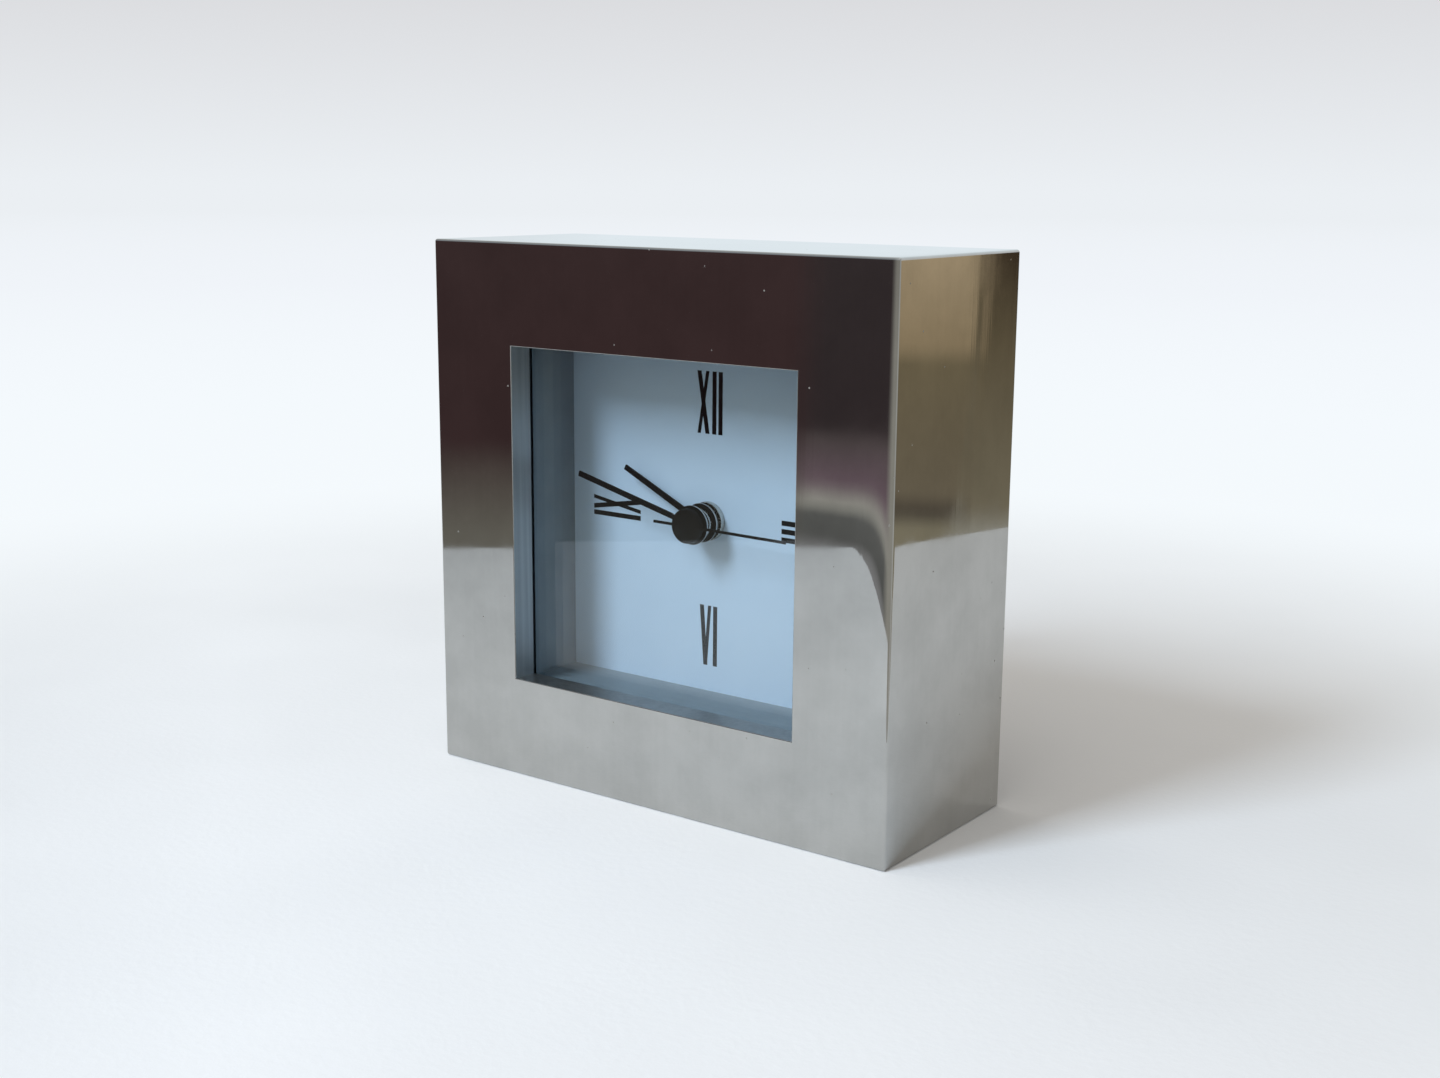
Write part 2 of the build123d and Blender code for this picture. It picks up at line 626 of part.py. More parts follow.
def setting_knob():
    """Ridged knob behind the housing, its stem, and the pinion that turns the reverser wheel."""
    head_near = movement_far + KNOB_GAP
    body = gear(knob_place, KNOB_RIDGES, KNOB_DIAMETER / KNOB_RIDGES, 0, knob_ridge,
                head_near, head_near + KNOB_HEIGHT)
    phase = mesh_phase(REVERSER_WHEEL_TEETH, reverser_phase(), reverser_place, knob_place, KNOB_TEETH)
    body += rod(knob_place, STEM_DIAMETER, reverser_far, head_near)
    body += gear(knob_place, KNOB_TEETH, MOTION_MODULE, phase, PINION_TOOTH, reverser_near, reverser_far)
    return body + rod(knob_place, STUD_DIAMETER, reverser_near - STEM_PIVOT_LENGTH, reverser_near)


def stator():
    """Soft iron plate: a ring round the rotor and two arms up to the coil's ends."""
    outline = Pos(*rotor_place) * prism(STATOR_RING_DIAMETER)
    for u, v in coil_ends:
        outline += trace(Polyline(rotor_place, (u, v - ELBOW_DROP), (u, v + STATOR_ARM / 2)), STATOR_ARM)
    outline -= Pos(*rotor_place) * bore(MAGNET_DIAMETER + 2 * ROTOR_AIR_GAP)
    for end in coil_ends:
        outline -= Pos(*end) * bore(STATOR_SCREW_DIAMETER + 2 * SCREW_CLEARANCE)
    return slab(outline, stator_near, stator_far)


def coil_core():
    """Iron bar through the coil, screwed to the stator at both ends."""
    middle = ((coil_left + COIL_RIGHT) / 2, coil_v)
    outline = Pos(*middle) * Rectangle(COIL_RIGHT - coil_left + CORE_WIDTH, CORE_WIDTH)
    for end in coil_ends:
        outline -= Pos(*end) * bore(STATOR_SCREW_DIAMETER + 2 * SCREW_CLEARANCE)
    return slab(outline, stator_far, core_far)


def coil_bobbin():
    """Flanged bobbin with a flat slot for the core."""
    body = bar(prism(BOBBIN_DIAMETER), bobbin_left, bobbin_right, coil_v, coil_depth)
    for start in (bobbin_left, bobbin_right - BOBBIN_FLANGE):
        body += bar(prism(BOBBIN_FLANGE_DIAMETER), start, start + BOBBIN_FLANGE, coil_v, coil_depth)
    middle = ((bobbin_left + bobbin_right) / 2, coil_v)
    slot = Pos(*middle) * Rectangle(bobbin_right - bobbin_left, CORE_WIDTH + 2 * SLOT_CLEARANCE)
    return body - slab(slot, stator_far - SLOT_CLEARANCE, core_far + SLOT_CLEARANCE)


def coil_winding():
    """Wire wound between the bobbin's flanges, as one sleeve."""
    left = bobbin_left + BOBBIN_FLANGE
    right = bobbin_right - BOBBIN_FLANGE
    sleeve = prism(WINDING_DIAMETER) - prism(BOBBIN_DIAMETER)
    return bar(sleeve, left, right, coil_v, coil_depth)


def stator_screws():
    """Two screws that hold core and stator on their posts."""
    screws = []
    for place in coil_ends:
        shank = rod(place, STATOR_SCREW_DIAMETER, core_far - STATOR_SCREW_LENGTH, core_far)
        screws.append(shank + rod(place, STATOR_HEAD_DIAMETER, core_far, core_far + STATOR_HEAD_HEIGHT))
    return Compound(children=screws)


def circuit_board():
    """Board along the top of the housing and down its right side, between the contacts."""
    strip = Pos(0, board_top - BOARD_STRIP / 2) * Rectangle(2 * board_half, BOARD_STRIP)
    block = Rectangle(BOARD_BLOCK_WIDTH, BOARD_BLOCK_HEIGHT)
    block = Pos(board_u, board_top - BOARD_BLOCK_HEIGHT / 2) * block
    return slab(strip + block, board_near, board_far)


def quartz_crystal():
    """Crystal can lying on the board."""
    plane = Plane(
        (board_u, board_far + CRYSTAL_DIAMETER / 2 - CASE_DEPTH / 2, axis_height + CRYSTAL_RISE),
        x_dir=(1, 0, 0), z_dir=(0, 0, 1))
    return extrude(plane * prism(CRYSTAL_DIAMETER), CRYSTAL_LENGTH)


def chip_cap():
    """Domed resin cap over the chip."""
    cap = rod((board_u, CHIP_RISE), CHIP_DIAMETER, board_far, board_far + CHIP_HEIGHT)
    return chamfer(cap.faces().sort_by(Axis.Y)[-1].edges(), CHIP_EDGE)


def contact(side, cell_end, reach):
    """Sprung strip on an end wall of the bay, bowed to the cell and led up to the board."""
    flat = side * (inner_half - CONTACT_THICKNESS / 2)
    crest = cell_end + side * CONTACT_THICKNESS / 2
    path = Polyline(
        (flat, bay_bottom),
        (flat, cell_v - CONTACT_CREST / 2 - CONTACT_SLOPE),
        (crest, cell_v - CONTACT_CREST / 2),
        (crest, cell_v + CONTACT_CREST / 2),
        (flat, cell_v + CONTACT_CREST / 2 + CONTACT_SLOPE),
        (flat, reach),
    )
    strip = trace(path, CONTACT_THICKNESS)
    return slab(strip, cell_depth - CONTACT_WIDTH / 2, cell_depth + CONTACT_WIDTH / 2)


def aa_cell():
    """Cell with its raised positive end to the right."""
    body_end = CELL_LENGTH / 2 - NUB_LENGTH
    body = bar(Circle(CELL_DIAMETER / 2), -CELL_LENGTH / 2, body_end, cell_v, cell_depth)
    body = chamfer(body.edges().filter_by(GeomType.CIRCLE), CELL_EDGE)
    return body + bar(Circle(NUB_DIAMETER / 2), body_end, CELL_LENGTH / 2, cell_v, cell_depth)


def hand(length, root_width, tip_width, bore_diameter, angle, near, far):
    """Baton hand with a round eye, pointing at its clock angle."""
    half_root = root_width / 2
    half_tip = tip_width / 2
    corners = ((-half_root, 0), (half_root, 0), (half_tip, length), (-half_tip, length))
    baton = make_face(Polyline(*corners, close=True))
    outline = baton + Circle(EYE_DIAMETER / 2) - bore(bore_diameter)
    return slab(Rot(0, 0, -angle) * outline, near, far)


def second_hand():
    """Slim second hand with a tail, on a drum that is pressed on the seconds arbor."""
    middle = (SECOND_LENGTH - SECOND_TAIL) / 2
    bar = Pos(0, middle) * Rectangle(SECOND_WIDTH, SECOND_LENGTH + SECOND_TAIL)
    body = slab(Rot(0, 0, -SECOND_ANGLE) * bar, hub_near, hub_near + SECOND_THICKNESS)
    body += disc(CENTRE, HUB_DIAMETER, hub_near, hub_far)
    return body - hole(CENTRE, SECONDS_ARBOR_DIAMETER, hub_near + SECOND_THICKNESS, hub_far)


def hand_cap():
    """Round cap that closes the drum."""
    cap = disc(CENTRE, HUB_DIAMETER, cap_near, hub_near)
    return chamfer(cap.faces().sort_by(Axis.Y)[0].edges(), CAP_EDGE)


def ring(diameter, bore_diameter, near, far):
    """A round ring on the hands' axis, with a hidden bore."""
    return slab(Circle(diameter / 2) - bore(bore_diameter), near, far)


seal_opening = WINDOW_SIZE + 2 * SEAL_SETBACK
nodes = {
    "case_shell": case_shell(),
    "glass_seal": slab(border(stack, (seal_opening, seal_opening)), FRONT_THICKNESS, glass_near),
    "front_glass": slab(Rectangle(*stack), glass_near, glass_far),
    "spacer_frame": spacer_frame(),
    "dial_plate": slab(Rectangle(*stack) - bore(dial_bore), dial_near, dial_far),
    "dial_washer": slab(prism(WASHER_DIAMETER) - bore(dial_bore), dial_far, movement_near),
    "centre_bush": centre_bush(),
    "centre_nut": ring(
        NUT_DIAMETER, BUSH_DIAMETER + 2 * PRESS_CLEARANCE, dial_near - NUT_HEIGHT, dial_near),
    "movement_front": movement_front(),
    "movement_rear": movement_rear(),
    "stator": stator(),
    "coil_core": coil_core(),
    "coil_bobbin": coil_bobbin(),
    "coil_winding": coil_winding(),
    "stator_screws": stator_screws(),
    "circuit_board": circuit_board(),
    "quartz_crystal": quartz_crystal(),
    "chip_cap": chip_cap(),
    "positive_contact": contact(1, CELL_LENGTH / 2, board_top - BOARD_BLOCK_HEIGHT + CONTACT_LAP),
    "negative_contact": contact(-1, -CELL_LENGTH / 2, inner_top),
    "aa_cell": aa_cell(),
    "back_cover": back_cover(),
    "cover_screws": cover_screws(),
    "rotor_arbor": rotor_arbor(),
    "rotor_magnet": rotor_magnet(),
    "intermediate_wheel": intermediate_wheel(),
    "seconds_wheel": seconds_wheel(),
    "second_hand": second_hand(),
    "hand_cap": hand_cap(),
    "third_wheel": third_wheel(),
    "centre_wheel": centre_wheel(),
    "cannon_pinion": cannon_pinion(),
    "minute_hand": hand(
        MINUTE_LENGTH, MINUTE_WIDTH, MINUTE_WIDTH, CANNON_DIAMETER, MINUTE_ANGLE, minute_near, minute_far),
    "reverser_wheel": reverser_wheel(),
    "hour_wheel": hour_wheel(),
    "hour_hand": hand(
        HOUR_LENGTH, HOUR_ROOT_WIDTH, HOUR_TIP_WIDTH, HOUR_TUBE_DIAMETER, HOUR_ANGLE, hour_near, hour_far),
    "hour_collet": ring(COLLET_DIAMETER, HOUR_TUBE_DIAMETER, collet_near, hour_near),
    "setting_knob": setting_knob(),
}

os.makedirs("parts", exist_ok=True)
for name, shape in nodes.items():
    export_step(shape, f"parts/{name}.step")
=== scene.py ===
import json
from math import cos, pi, radians, sin

import bmesh
import bpy
from mathutils import Matrix, Vector


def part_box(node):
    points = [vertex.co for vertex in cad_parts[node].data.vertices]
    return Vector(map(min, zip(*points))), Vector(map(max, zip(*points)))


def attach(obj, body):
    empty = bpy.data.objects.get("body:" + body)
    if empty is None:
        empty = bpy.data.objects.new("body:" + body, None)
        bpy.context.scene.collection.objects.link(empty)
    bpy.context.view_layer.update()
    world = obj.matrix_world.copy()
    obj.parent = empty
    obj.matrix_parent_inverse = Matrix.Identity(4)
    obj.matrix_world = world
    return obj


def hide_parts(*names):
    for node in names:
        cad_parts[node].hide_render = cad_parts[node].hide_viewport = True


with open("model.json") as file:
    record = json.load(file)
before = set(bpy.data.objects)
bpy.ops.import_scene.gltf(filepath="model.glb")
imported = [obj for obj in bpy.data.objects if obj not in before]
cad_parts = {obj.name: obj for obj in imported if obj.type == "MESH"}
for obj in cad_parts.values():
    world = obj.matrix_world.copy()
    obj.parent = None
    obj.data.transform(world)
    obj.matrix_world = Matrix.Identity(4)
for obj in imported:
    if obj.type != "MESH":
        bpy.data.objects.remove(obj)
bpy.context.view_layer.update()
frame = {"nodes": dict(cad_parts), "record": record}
nodes = frame["nodes"]

# Sizes are in millimetres, and MM turns them into metres. A depth is measured backwards from the
# case's front face. A place on the dial is (u, v) from the hands' axis: u to the right and v up.
MM = 0.001
case_low, case_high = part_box("case_shell")
DEPTH = (case_high.y - case_low.y) / MM
HALF = (case_high.x - case_low.x) / 2 / MM
AXIS = (case_low.z + case_high.z) / 2 / MM
WINDOW_HALF = 31.25


def depth_of(y):
    """Depth in millimetres of a place in the frame."""
    return y / MM + DEPTH / 2


def linear(code):
    """A colour written as sRGB hex, as linear RGBA."""
    channels = [int(code[place:place + 2], 16) / 255 for place in (1, 3, 5)]
    curve = [c / 12.92 if c <= 0.04045 else ((c + 0.055) / 1.055) ** 2.4 for c in channels]
    return (*curve, 1.0)


# The two colour sockets of a Mix node
A = 6
B = 7


def node(tree, kind, values=None, links=None, stops=(), **settings):
    """Adds a node: values and links go to its inputs, stops to its colour ramp, settings to itself.
    A link comes from a socket, or from a node's first socket in use."""
    new = tree.nodes.new("ShaderNode" + kind)
    for name, value in settings.items():
        setattr(new, name, value)
    for socket, value in (values or {}).items():
        new.inputs[socket].default_value = value
    for socket, source in (links or {}).items():
        if isinstance(source, bpy.types.Node):
            source = next(output for output in source.outputs if output.enabled)
        tree.links.new(source, new.inputs[socket])
    for index, (place, colour) in enumerate(stops):
        elements = new.color_ramp.elements
        element = elements[index] if index < 2 else elements.new(place)
        element.position = place
        element.color = linear(colour)
    return new


def material(shader):
    """A new material, named for the function that makes its shader."""
    made = bpy.data.materials.new(shader.__name__)
    made.use_nodes = True
    made.node_tree.nodes.clear()
    node(made.node_tree, "OutputMaterial", links={"Surface": shader(made.node_tree)})
    return made


# Most values of a noise lie between these two
NOISE_LOW = 0.3
NOISE_HIGH = 0.7


def drifting(dark, light):
    """Stops of a ramp that spread two colours over the values of a noise."""
    return ((NOISE_LOW, dark), (NOISE_HIGH, light))


def plain(tree, colours, rough, patch, pit, height, along=(1.0, 1.0, 1.0), metallic=0.0, level=0.5):
    """A plain finish: colour drifts over patches, and fine pits break the gloss. Sizes in millimetres."""
    place = node(tree, "TexCoord").outputs["Object"]
    scale = [1.0 / stretch for stretch in along]
    stretched = node(tree, "Mapping", {"Scale": scale}, {"Vector": place})
    drift = node(tree, "TexNoise", {"Scale": 1 / (patch * MM), "Detail": 3.0}, {"Vector": stretched})
    pits = node(tree, "TexNoise", {"Scale": 1 / (pit * MM), "Detail": 2.0}, {"Vector": stretched})
    colour = node(tree, "ValToRGB", links={"Fac": drift}, stops=drifting(*colours))
    gloss = {"From Min": NOISE_LOW, "From Max": NOISE_HIGH, "To Min": rough[0], "To Max": rough[1]}
    roughness = node(tree, "MapRange", gloss, {"Value": pits})
    bump = node(tree, "Bump", {"Strength": 1.0, "Distance": height * MM}, {"Height": pits})
    return node(tree, "BsdfPrincipled", {"Metallic": metallic, "Specular IOR Level": level},
                {"Base Color": colour, "Roughness": roughness, "Normal": bump})


# Polish of the case: how the buffing wheel rolled off the edge between the front and the right side, its
# waves and hairlines, haze and stains, the milled walls of the window, and dust where the haze is
ROLL_WIDTH = 8.0
ROLL_POWER = 4.0
FRONT_ROLL = 0.21
SIDE_ROLL = 0.012
WAVE_LENGTH = 26.0
WAVE_HEIGHT = 0.004
LINE_WIDTH = 0.9
LINE_LENGTH = 40.0
LINE_HEIGHT = 0.0012
LINE_SHARE = 0.1
HAZE_SIZE = 9.0
HAZE_RANGE = (0.35, 0.75)
POLISH = (0.018, 0.06)
STAIN_SIZE = 15.0
STAINS = ((0.38, "#c0c0bd"), (0.62, "#ccccc9"))
MILLED_START = 0.1
MILLED_FULL = 0.02
MILLED_ROUGHNESS = 0.38
DUST_SPACING = 4.0
DUST_RADIUS = 0.2
DUST_CORE = 0.6
DUST_RANGE = (0.43, 0.57)


def polished_stainless_steel(tree):
    """Stainless steel, buffed by hand: a grey mirror, a little wavy and rolled off at one edge, with
    hairlines from top to bottom, hazy patches and specks of dust. The window's walls are only milled."""
    place = node(tree, "TexCoord").outputs["Object"]
    axes = node(tree, "SeparateXYZ", links={0: place}).outputs
    falls = []
    for axis, edge, inward, height in ((axes["X"], HALF, -ROLL_WIDTH, FRONT_ROLL),
                                       (axes["Y"], -DEPTH / 2, ROLL_WIDTH, SIDE_ROLL)):
        limits = {"From Min": (edge + inward) * MM, "From Max": edge * MM}
        near = node(tree, "MapRange", limits, {"Value": axis})
        steep = node(tree, "Math", {1: ROLL_POWER}, {0: near}, operation="POWER")
        falls.append(node(tree, "Math", {1: height * MM}, {0: steep}, operation="MULTIPLY"))
    fall = node(tree, "Math", links={0: falls[0], 1: falls[1]}, operation="ADD")
    rolled = node(tree, "Bump", {"Strength": 1.0, "Distance": 1.0}, {"Height": fall}, invert=True)
    waves = node(tree, "TexNoise", {"Scale": 1 / (WAVE_LENGTH * MM), "Detail": 1.0}, {"Vector": place})
    wavy = node(tree, "Bump", {"Strength": 1.0, "Distance": WAVE_HEIGHT * MM},
                {"Height": waves, "Normal": rolled})
    fine = [1 / (size * MM) for size in (LINE_WIDTH, LINE_WIDTH, LINE_LENGTH)]
    drawn = node(tree, "Mapping", {"Scale": fine}, {"Vector": place})
    hairlines = node(tree, "TexNoise", {"Scale": 1.0, "Detail": 4.0}, {"Vector": drawn})
    lined = node(tree, "Bump", {"Strength": 1.0, "Distance": LINE_HEIGHT * MM},
                 {"Height": hairlines, "Normal": wavy})
    haze = node(tree, "TexNoise", {"Scale": 1 / (HAZE_SIZE * MM), "Detail": 4.0}, {"Vector": place})
    polish = node(tree, "MapRange", {"From Min": HAZE_RANGE[0], "From Max": HAZE_RANGE[1],
                                     "To Min": POLISH[0], "To Max": POLISH[1]}, {"Value": haze})
    height = node(tree, "Math", {1: AXIS * MM}, {0: axes["Z"]}, operation="SUBTRACT")
    across = node(tree, "Math", links={0: axes["X"]}, operation="ABSOLUTE")
    up = node(tree, "Math", links={0: height}, operation="ABSOLUTE")
    reach_out = node(tree, "Math", links={0: across, 1: up}, operation="MAXIMUM")
    limits = {"From Min": (WINDOW_HALF + MILLED_START) * MM, "From Max": (WINDOW_HALF + MILLED_FULL) * MM}
    milled = node(tree, "MapRange", limits, {"Value": reach_out})
    coarse = node(tree, "Math", {1: MILLED_ROUGHNESS}, {0: milled}, operation="MULTIPLY")
    roughness = node(tree, "Math", links={0: polish, 1: coarse}, operation="MAXIMUM")
    stain = node(tree, "TexNoise", {"Scale": 1 / (STAIN_SIZE * MM), "Detail": 8.0, "Roughness": 0.62},
                 {"Vector": place})
    worn = node(tree, "Mix", {"Factor": LINE_SHARE}, {"A": stain, "B": hairlines})
    buffed = node(tree, "ValToRGB", links={"Fac": worn}, stops=STAINS)
    tool_marks = node(tree, "ValToRGB", links={"Fac": hairlines}, stops=drifting("#9fa0a0", "#b1b2b1"))
    colour = node(tree, "Mix", links={"Factor": milled, A: buffed, B: tool_marks}, data_type="RGBA")
    cells = node(tree, "TexVoronoi", {"Scale": 1 / (DUST_SPACING * MM)}, {"Vector": place})
    size = DUST_RADIUS / DUST_SPACING
    speck = node(tree, "MapRange", {"From Min": size, "From Max": DUST_CORE * size}, {"Value": cells})
    settled = node(tree, "MapRange", {"From Min": DUST_RANGE[0], "From Max": DUST_RANGE[1]},
                   {"Value": haze})
    dust = node(tree, "Math", links={0: speck, 1: settled}, operation="MULTIPLY")
    dusty = node(tree, "Mix", {B: linear("#77746f")}, {"Factor": dust, A: colour}, data_type="RGBA")
    dull = node(tree, "Math", links={0: roughness, 1: dust}, operation="MAXIMUM")
    bare = node(tree, "Math", {0: 1.0}, {1: dust}, operation="SUBTRACT")
    return node(tree, "BsdfPrincipled",
                links={"Base Color": dusty, "Metallic": bare, "Roughness": dull, "Normal": lined})


# A thumbed smear on the pane: its size, where it shows, and how rough it gets
SMEAR_SIZE = 14.0
SMEAR_RANGE = (0.5, 0.75)
SMEAR_ROUGHNESS = 0.004


def clear_float_glass(tree):
    """Flat window glass: clear and faintly green, mirroring the paper weakly, with a thumbed smear."""
    place = node(tree, "TexCoord").outputs["Object"]
    smear = node(tree, "TexNoise", {"Scale": 1 / (SMEAR_SIZE * MM), "Detail": 3.0}, {"Vector": place})
    roughness = node(tree, "MapRange", {"From Min": SMEAR_RANGE[0], "From Max": SMEAR_RANGE[1],
                                        "To Max": SMEAR_ROUGHNESS}, {"Value": smear})
    return node(tree, "BsdfPrincipled",
                {"Base Color": linear("#f2f8f8"), "Transmission Weight": 1.0, "IOR": 1.52},
                {"Roughness": roughness})


def coated_dial_card(tree):
    """Coated card, printed pale blue: even and matt, with a fine tooth."""
    return plain(tree, ("#c6dcf2", "#cbe0f5"), (0.5, 0.62), 12.0, 0.4, 0.004, level=0.3)


def black_printing_ink(tree):
    """Screen-printed ink: dense black, matt, a little uneven."""
    return plain(tree, ("#040507", "#080a0c"), (0.5, 0.65), 1.5, 0.15, 0.003, level=0.06)


def black_rubber_strip(tree):
    """Extruded rubber: black and dull, with a slight grain."""
    return plain(tree, ("#0b1114", "#11181c"), (0.55, 0.7), 4.0, 0.3, 0.01)


def blue_grey_lacquer(tree):
    """Lacquered sheet frame: blue-grey and satin, with a soft orange peel."""
    return plain(tree, ("#7e8a92", "#87939b"), (0.34, 0.46), 7.0, 0.5, 0.004)


def nickel_plated_brass(tree):
    """Turned brass, nickel plated: a warm grey metal with faint turning marks."""
    return plain(tree, ("#c2c0ba", "#cbc9c4"), (0.16, 0.3), 2.0, 0.3, 0.002, metallic=1.0)


# A hand's cut edge stays bare round its eye: how far from the hands' axis, and how much it faces forward
# where it starts and where it is whole. The grit is in the lacquer.
EYE_REACH = 4.6
EYE_FADE = 0.1
CUT_START = 0.6
CUT_WHOLE = 0.3
GRIT_SIZE = 0.3
GRIT_HEIGHT = 0.002


def lacquered_sheet_hand(tree):
    """Stamped aluminium, lacquered black: satin, with a bright cut edge left bare round the eye."""
    place = node(tree, "TexCoord").outputs["Object"]
    normal = node(tree, "NewGeometry").outputs["Normal"]
    turned = node(tree, "VectorMath", links={0: normal}, operation="ABSOLUTE")
    across = node(tree, "SeparateXYZ", links={0: turned}).outputs["Y"]
    edge = node(tree, "MapRange", {"From Min": CUT_START, "From Max": CUT_WHOLE}, {"Value": across})
    flat = node(tree, "VectorMath", {1: (1.0, 0.0, 1.0), 2: (0.0, 0.0, -AXIS * MM)}, {0: place},
                operation="MULTIPLY_ADD")
    radius = node(tree, "VectorMath", links={0: flat}, operation="LENGTH")
    near = node(tree, "MapRange", {"From Min": EYE_REACH * MM, "From Max": (EYE_REACH - EYE_FADE) * MM},
                {"Value": radius})
    bare = node(tree, "Math", links={0: edge, 1: near}, operation="MULTIPLY")
    grit = node(tree, "TexNoise", {"Scale": 1 / (GRIT_SIZE * MM), "Detail": 3.0}, {"Vector": place})
    lacquer = node(tree, "ValToRGB", links={"Fac": grit}, stops=drifting("#040506", "#08090b"))
    colour = node(tree, "Mix", {B: linear("#c9c9c8")}, {"Factor": bare, A: lacquer}, data_type="RGBA")
    roughness = node(tree, "MapRange", {"From Min": NOISE_LOW, "From Max": NOISE_HIGH,
                                        "To Min": 0.3, "To Max": 0.42}, {"Value": grit})
    bump = node(tree, "Bump", {"Strength": 1.0, "Distance": GRIT_HEIGHT * MM}, {"Height": grit})
    return node(tree, "BsdfPrincipled", {"Specular IOR Level": 0.06},
                {"Base Color": colour, "Metallic": bare, "Roughness": roughness, "Normal": bump})


def black_lacquered_drum(tree):
    """Turned drum and wire-thin hand, lacquered: black, with a soft highlight round the drum."""
    return plain(tree, ("#040506", "#08090b"), (0.2, 0.3), 3.0, 0.3, 0.002, level=0.08)


def black_enamelled_cap(tree):
    """Enamelled cap: a glossy black that mirrors the room faintly."""
    return plain(tree, ("#080809", "#0c0c0d"), (0.1, 0.16), 2.0, 0.3, 0.001, level=0.14)


def moulded_black_abs(tree):
    """Moulded ABS: black, satin and even, with a slight flow mark."""
    return plain(tree, ("#101113", "#161719"), (0.26, 0.36), 6.0, 0.35, 0.006)


def spark_textured_abs(tree):
    """ABS from a spark-eroded mould: charcoal, dull, with an even fine grain."""
    return plain(tree, ("#222325", "#2a2b2e"), (0.5, 0.66), 8.0, 0.6, 0.05)


def moulded_acetal(tree):
    """Moulded acetal: milk white, waxy."""
    return plain(tree, ("#e6e3da", "#efece4"), (0.32, 0.42), 3.0, 0.3, 0.004)


def annealed_soft_iron(tree):
    """Stamped and annealed iron: grey, with a bloom from the furnace."""
    return plain(tree, ("#77777a", "#85858a"), (0.35, 0.5), 3.0, 0.3, 0.004, metallic=1.0)


def sintered_magnet(tree):
    """Sintered magnet: dark grey, finely granular."""
    return plain(tree, ("#4b4b4e", "#56565a"), (0.45, 0.6), 1.0, 0.15, 0.006, metallic=0.7)


def moulded_nylon(tree):
    """Moulded nylon: off-white, satin."""
    return plain(tree, ("#d9d6cc", "#e4e1d8"), (0.4, 0.52), 3.0, 0.3, 0.005)


def enamelled_copper_wire(tree):
    """Fine enamelled copper, wound in close turns: red-brown, with a ripple along the coil."""
    return plain(tree, ("#a5552c", "#b9663a"), (0.22, 0.36), 1.0, 0.12, 0.02, (1.0, 12.0, 12.0),
                 metallic=1.0)


def zinc_plated_steel(tree):
    """Steel screws, zinc plated: a bright blue-grey metal, slightly cloudy."""
    return plain(tree, ("#9c9d9f", "#adaeb0"), (0.22, 0.38), 1.5, 0.2, 0.003, metallic=1.0)


def green_glass_laminate(tree):
    """Glass-fibre laminate under solder mask: green, with the weave showing through."""
    return plain(tree, ("#1f5a3a", "#276746"), (0.35, 0.48), 2.5, 0.5, 0.006)


def drawn_tin_can(tree):
    """Drawn and tinned can: pale metal with drawing lines along it."""
    return plain(tree, ("#b4b4b2", "#c0c0be"), (0.2, 0.32), 2.0, 0.2, 0.002, (1.0, 1.0, 8.0),
                 metallic=1.0)


def black_epoxy_drop(tree):
    """Poured resin: black and glossy, softly uneven."""
    return plain(tree, ("#0f0f10", "#171718"), (0.2, 0.32), 1.5, 0.3, 0.004)


def nickel_plated_spring(tree):
    """Spring strip, nickel plated: bright, with rolling lines along it."""
    return plain(tree, ("#b7b5ae", "#c3c1ba"), (0.2, 0.34), 2.0, 0.25, 0.002, (1.0, 1.0, 6.0),
                 metallic=1.0)


def nickel_plated_can(tree):
    """The cell's drawn steel can, nickel plated as the fittings are: a warm grey metal."""
    return nickel_plated_brass(tree)


# Where the cell's green band starts, from the middle of the cell, and the ripple of its sleeve
BAND_START = 9.0
BAND_FADE = 0.1
RIPPLE_SIZE = 3.0
RIPPLE_HEIGHT = 0.004


def printed_shrink_sleeve(tree):
    """Shrink sleeve, printed silver with a plain green band: glossy film, slightly rippled."""
    place = node(tree, "TexCoord").outputs["Object"]
    across = node(tree, "SeparateXYZ", links={0: place}).outputs["X"]
    limits = {"From Min": BAND_START * MM, "From Max": (BAND_START + BAND_FADE) * MM}
    band = node(tree, "MapRange", limits, {"Value": across})
    ripple = node(tree, "TexNoise", {"Scale": 1 / (RIPPLE_SIZE * MM), "Detail": 2.0}, {"Vector": place})
    silver = node(tree, "ValToRGB", links={"Fac": ripple}, stops=drifting("#aeb2b7", "#b3b7bc"))
    green = node(tree, "ValToRGB", links={"Fac": ripple}, stops=drifting("#265c42", "#2a6146"))
    colour = node(tree, "Mix", links={"Factor": band, A: silver, B: green}, data_type="RGBA")
    roughness = node(tree, "MapRange", {"To Min": 0.2, "To Max": 0.34}, {"Value": ripple})
    bump = node(tree, "Bump", {"Strength": 1.0, "Distance": RIPPLE_HEIGHT * MM}, {"Height": ripple})
    return node(tree, "BsdfPrincipled", {"Metallic": 0.3},
                {"Base Color": colour, "Roughness": roughness, "Normal": bump})


finishes = {
    "polished_metal": material(polished_stainless_steel),
    "seal_rubber": material(black_rubber_strip),
    "pane_glass": material(clear_float_glass),
    "spacer_grey": material(blue_grey_lacquer),
    "dial_white": material(coated_dial_card),
    "nickel_fittings": material(nickel_plated_brass),
    "hand_black": material(lacquered_sheet_hand),
    "cap_black": material(black_enamelled_cap),
    "housing_black": material(moulded_black_abs),
    "cover_black": material(spark_textured_abs),
    "wheel_acetal": material(moulded_acetal),
    "soft_iron": material(annealed_soft_iron),
    "magnet_grey": material(sintered_magnet),
    "bobbin_plastic": material(moulded_nylon),
    "copper_wire": material(enamelled_copper_wire),
    "screw_steel": material(zinc_plated_steel),
    "board_laminate": material(green_glass_laminate),
    "crystal_can": material(drawn_tin_can),
    "chip_resin": material(black_epoxy_drop),
    "contact_nickel": material(nickel_plated_spring),
    "cell_jacket": material(printed_shrink_sleeve),
}
ink = material(black_printing_ink)
can_steel = material(nickel_plated_can)


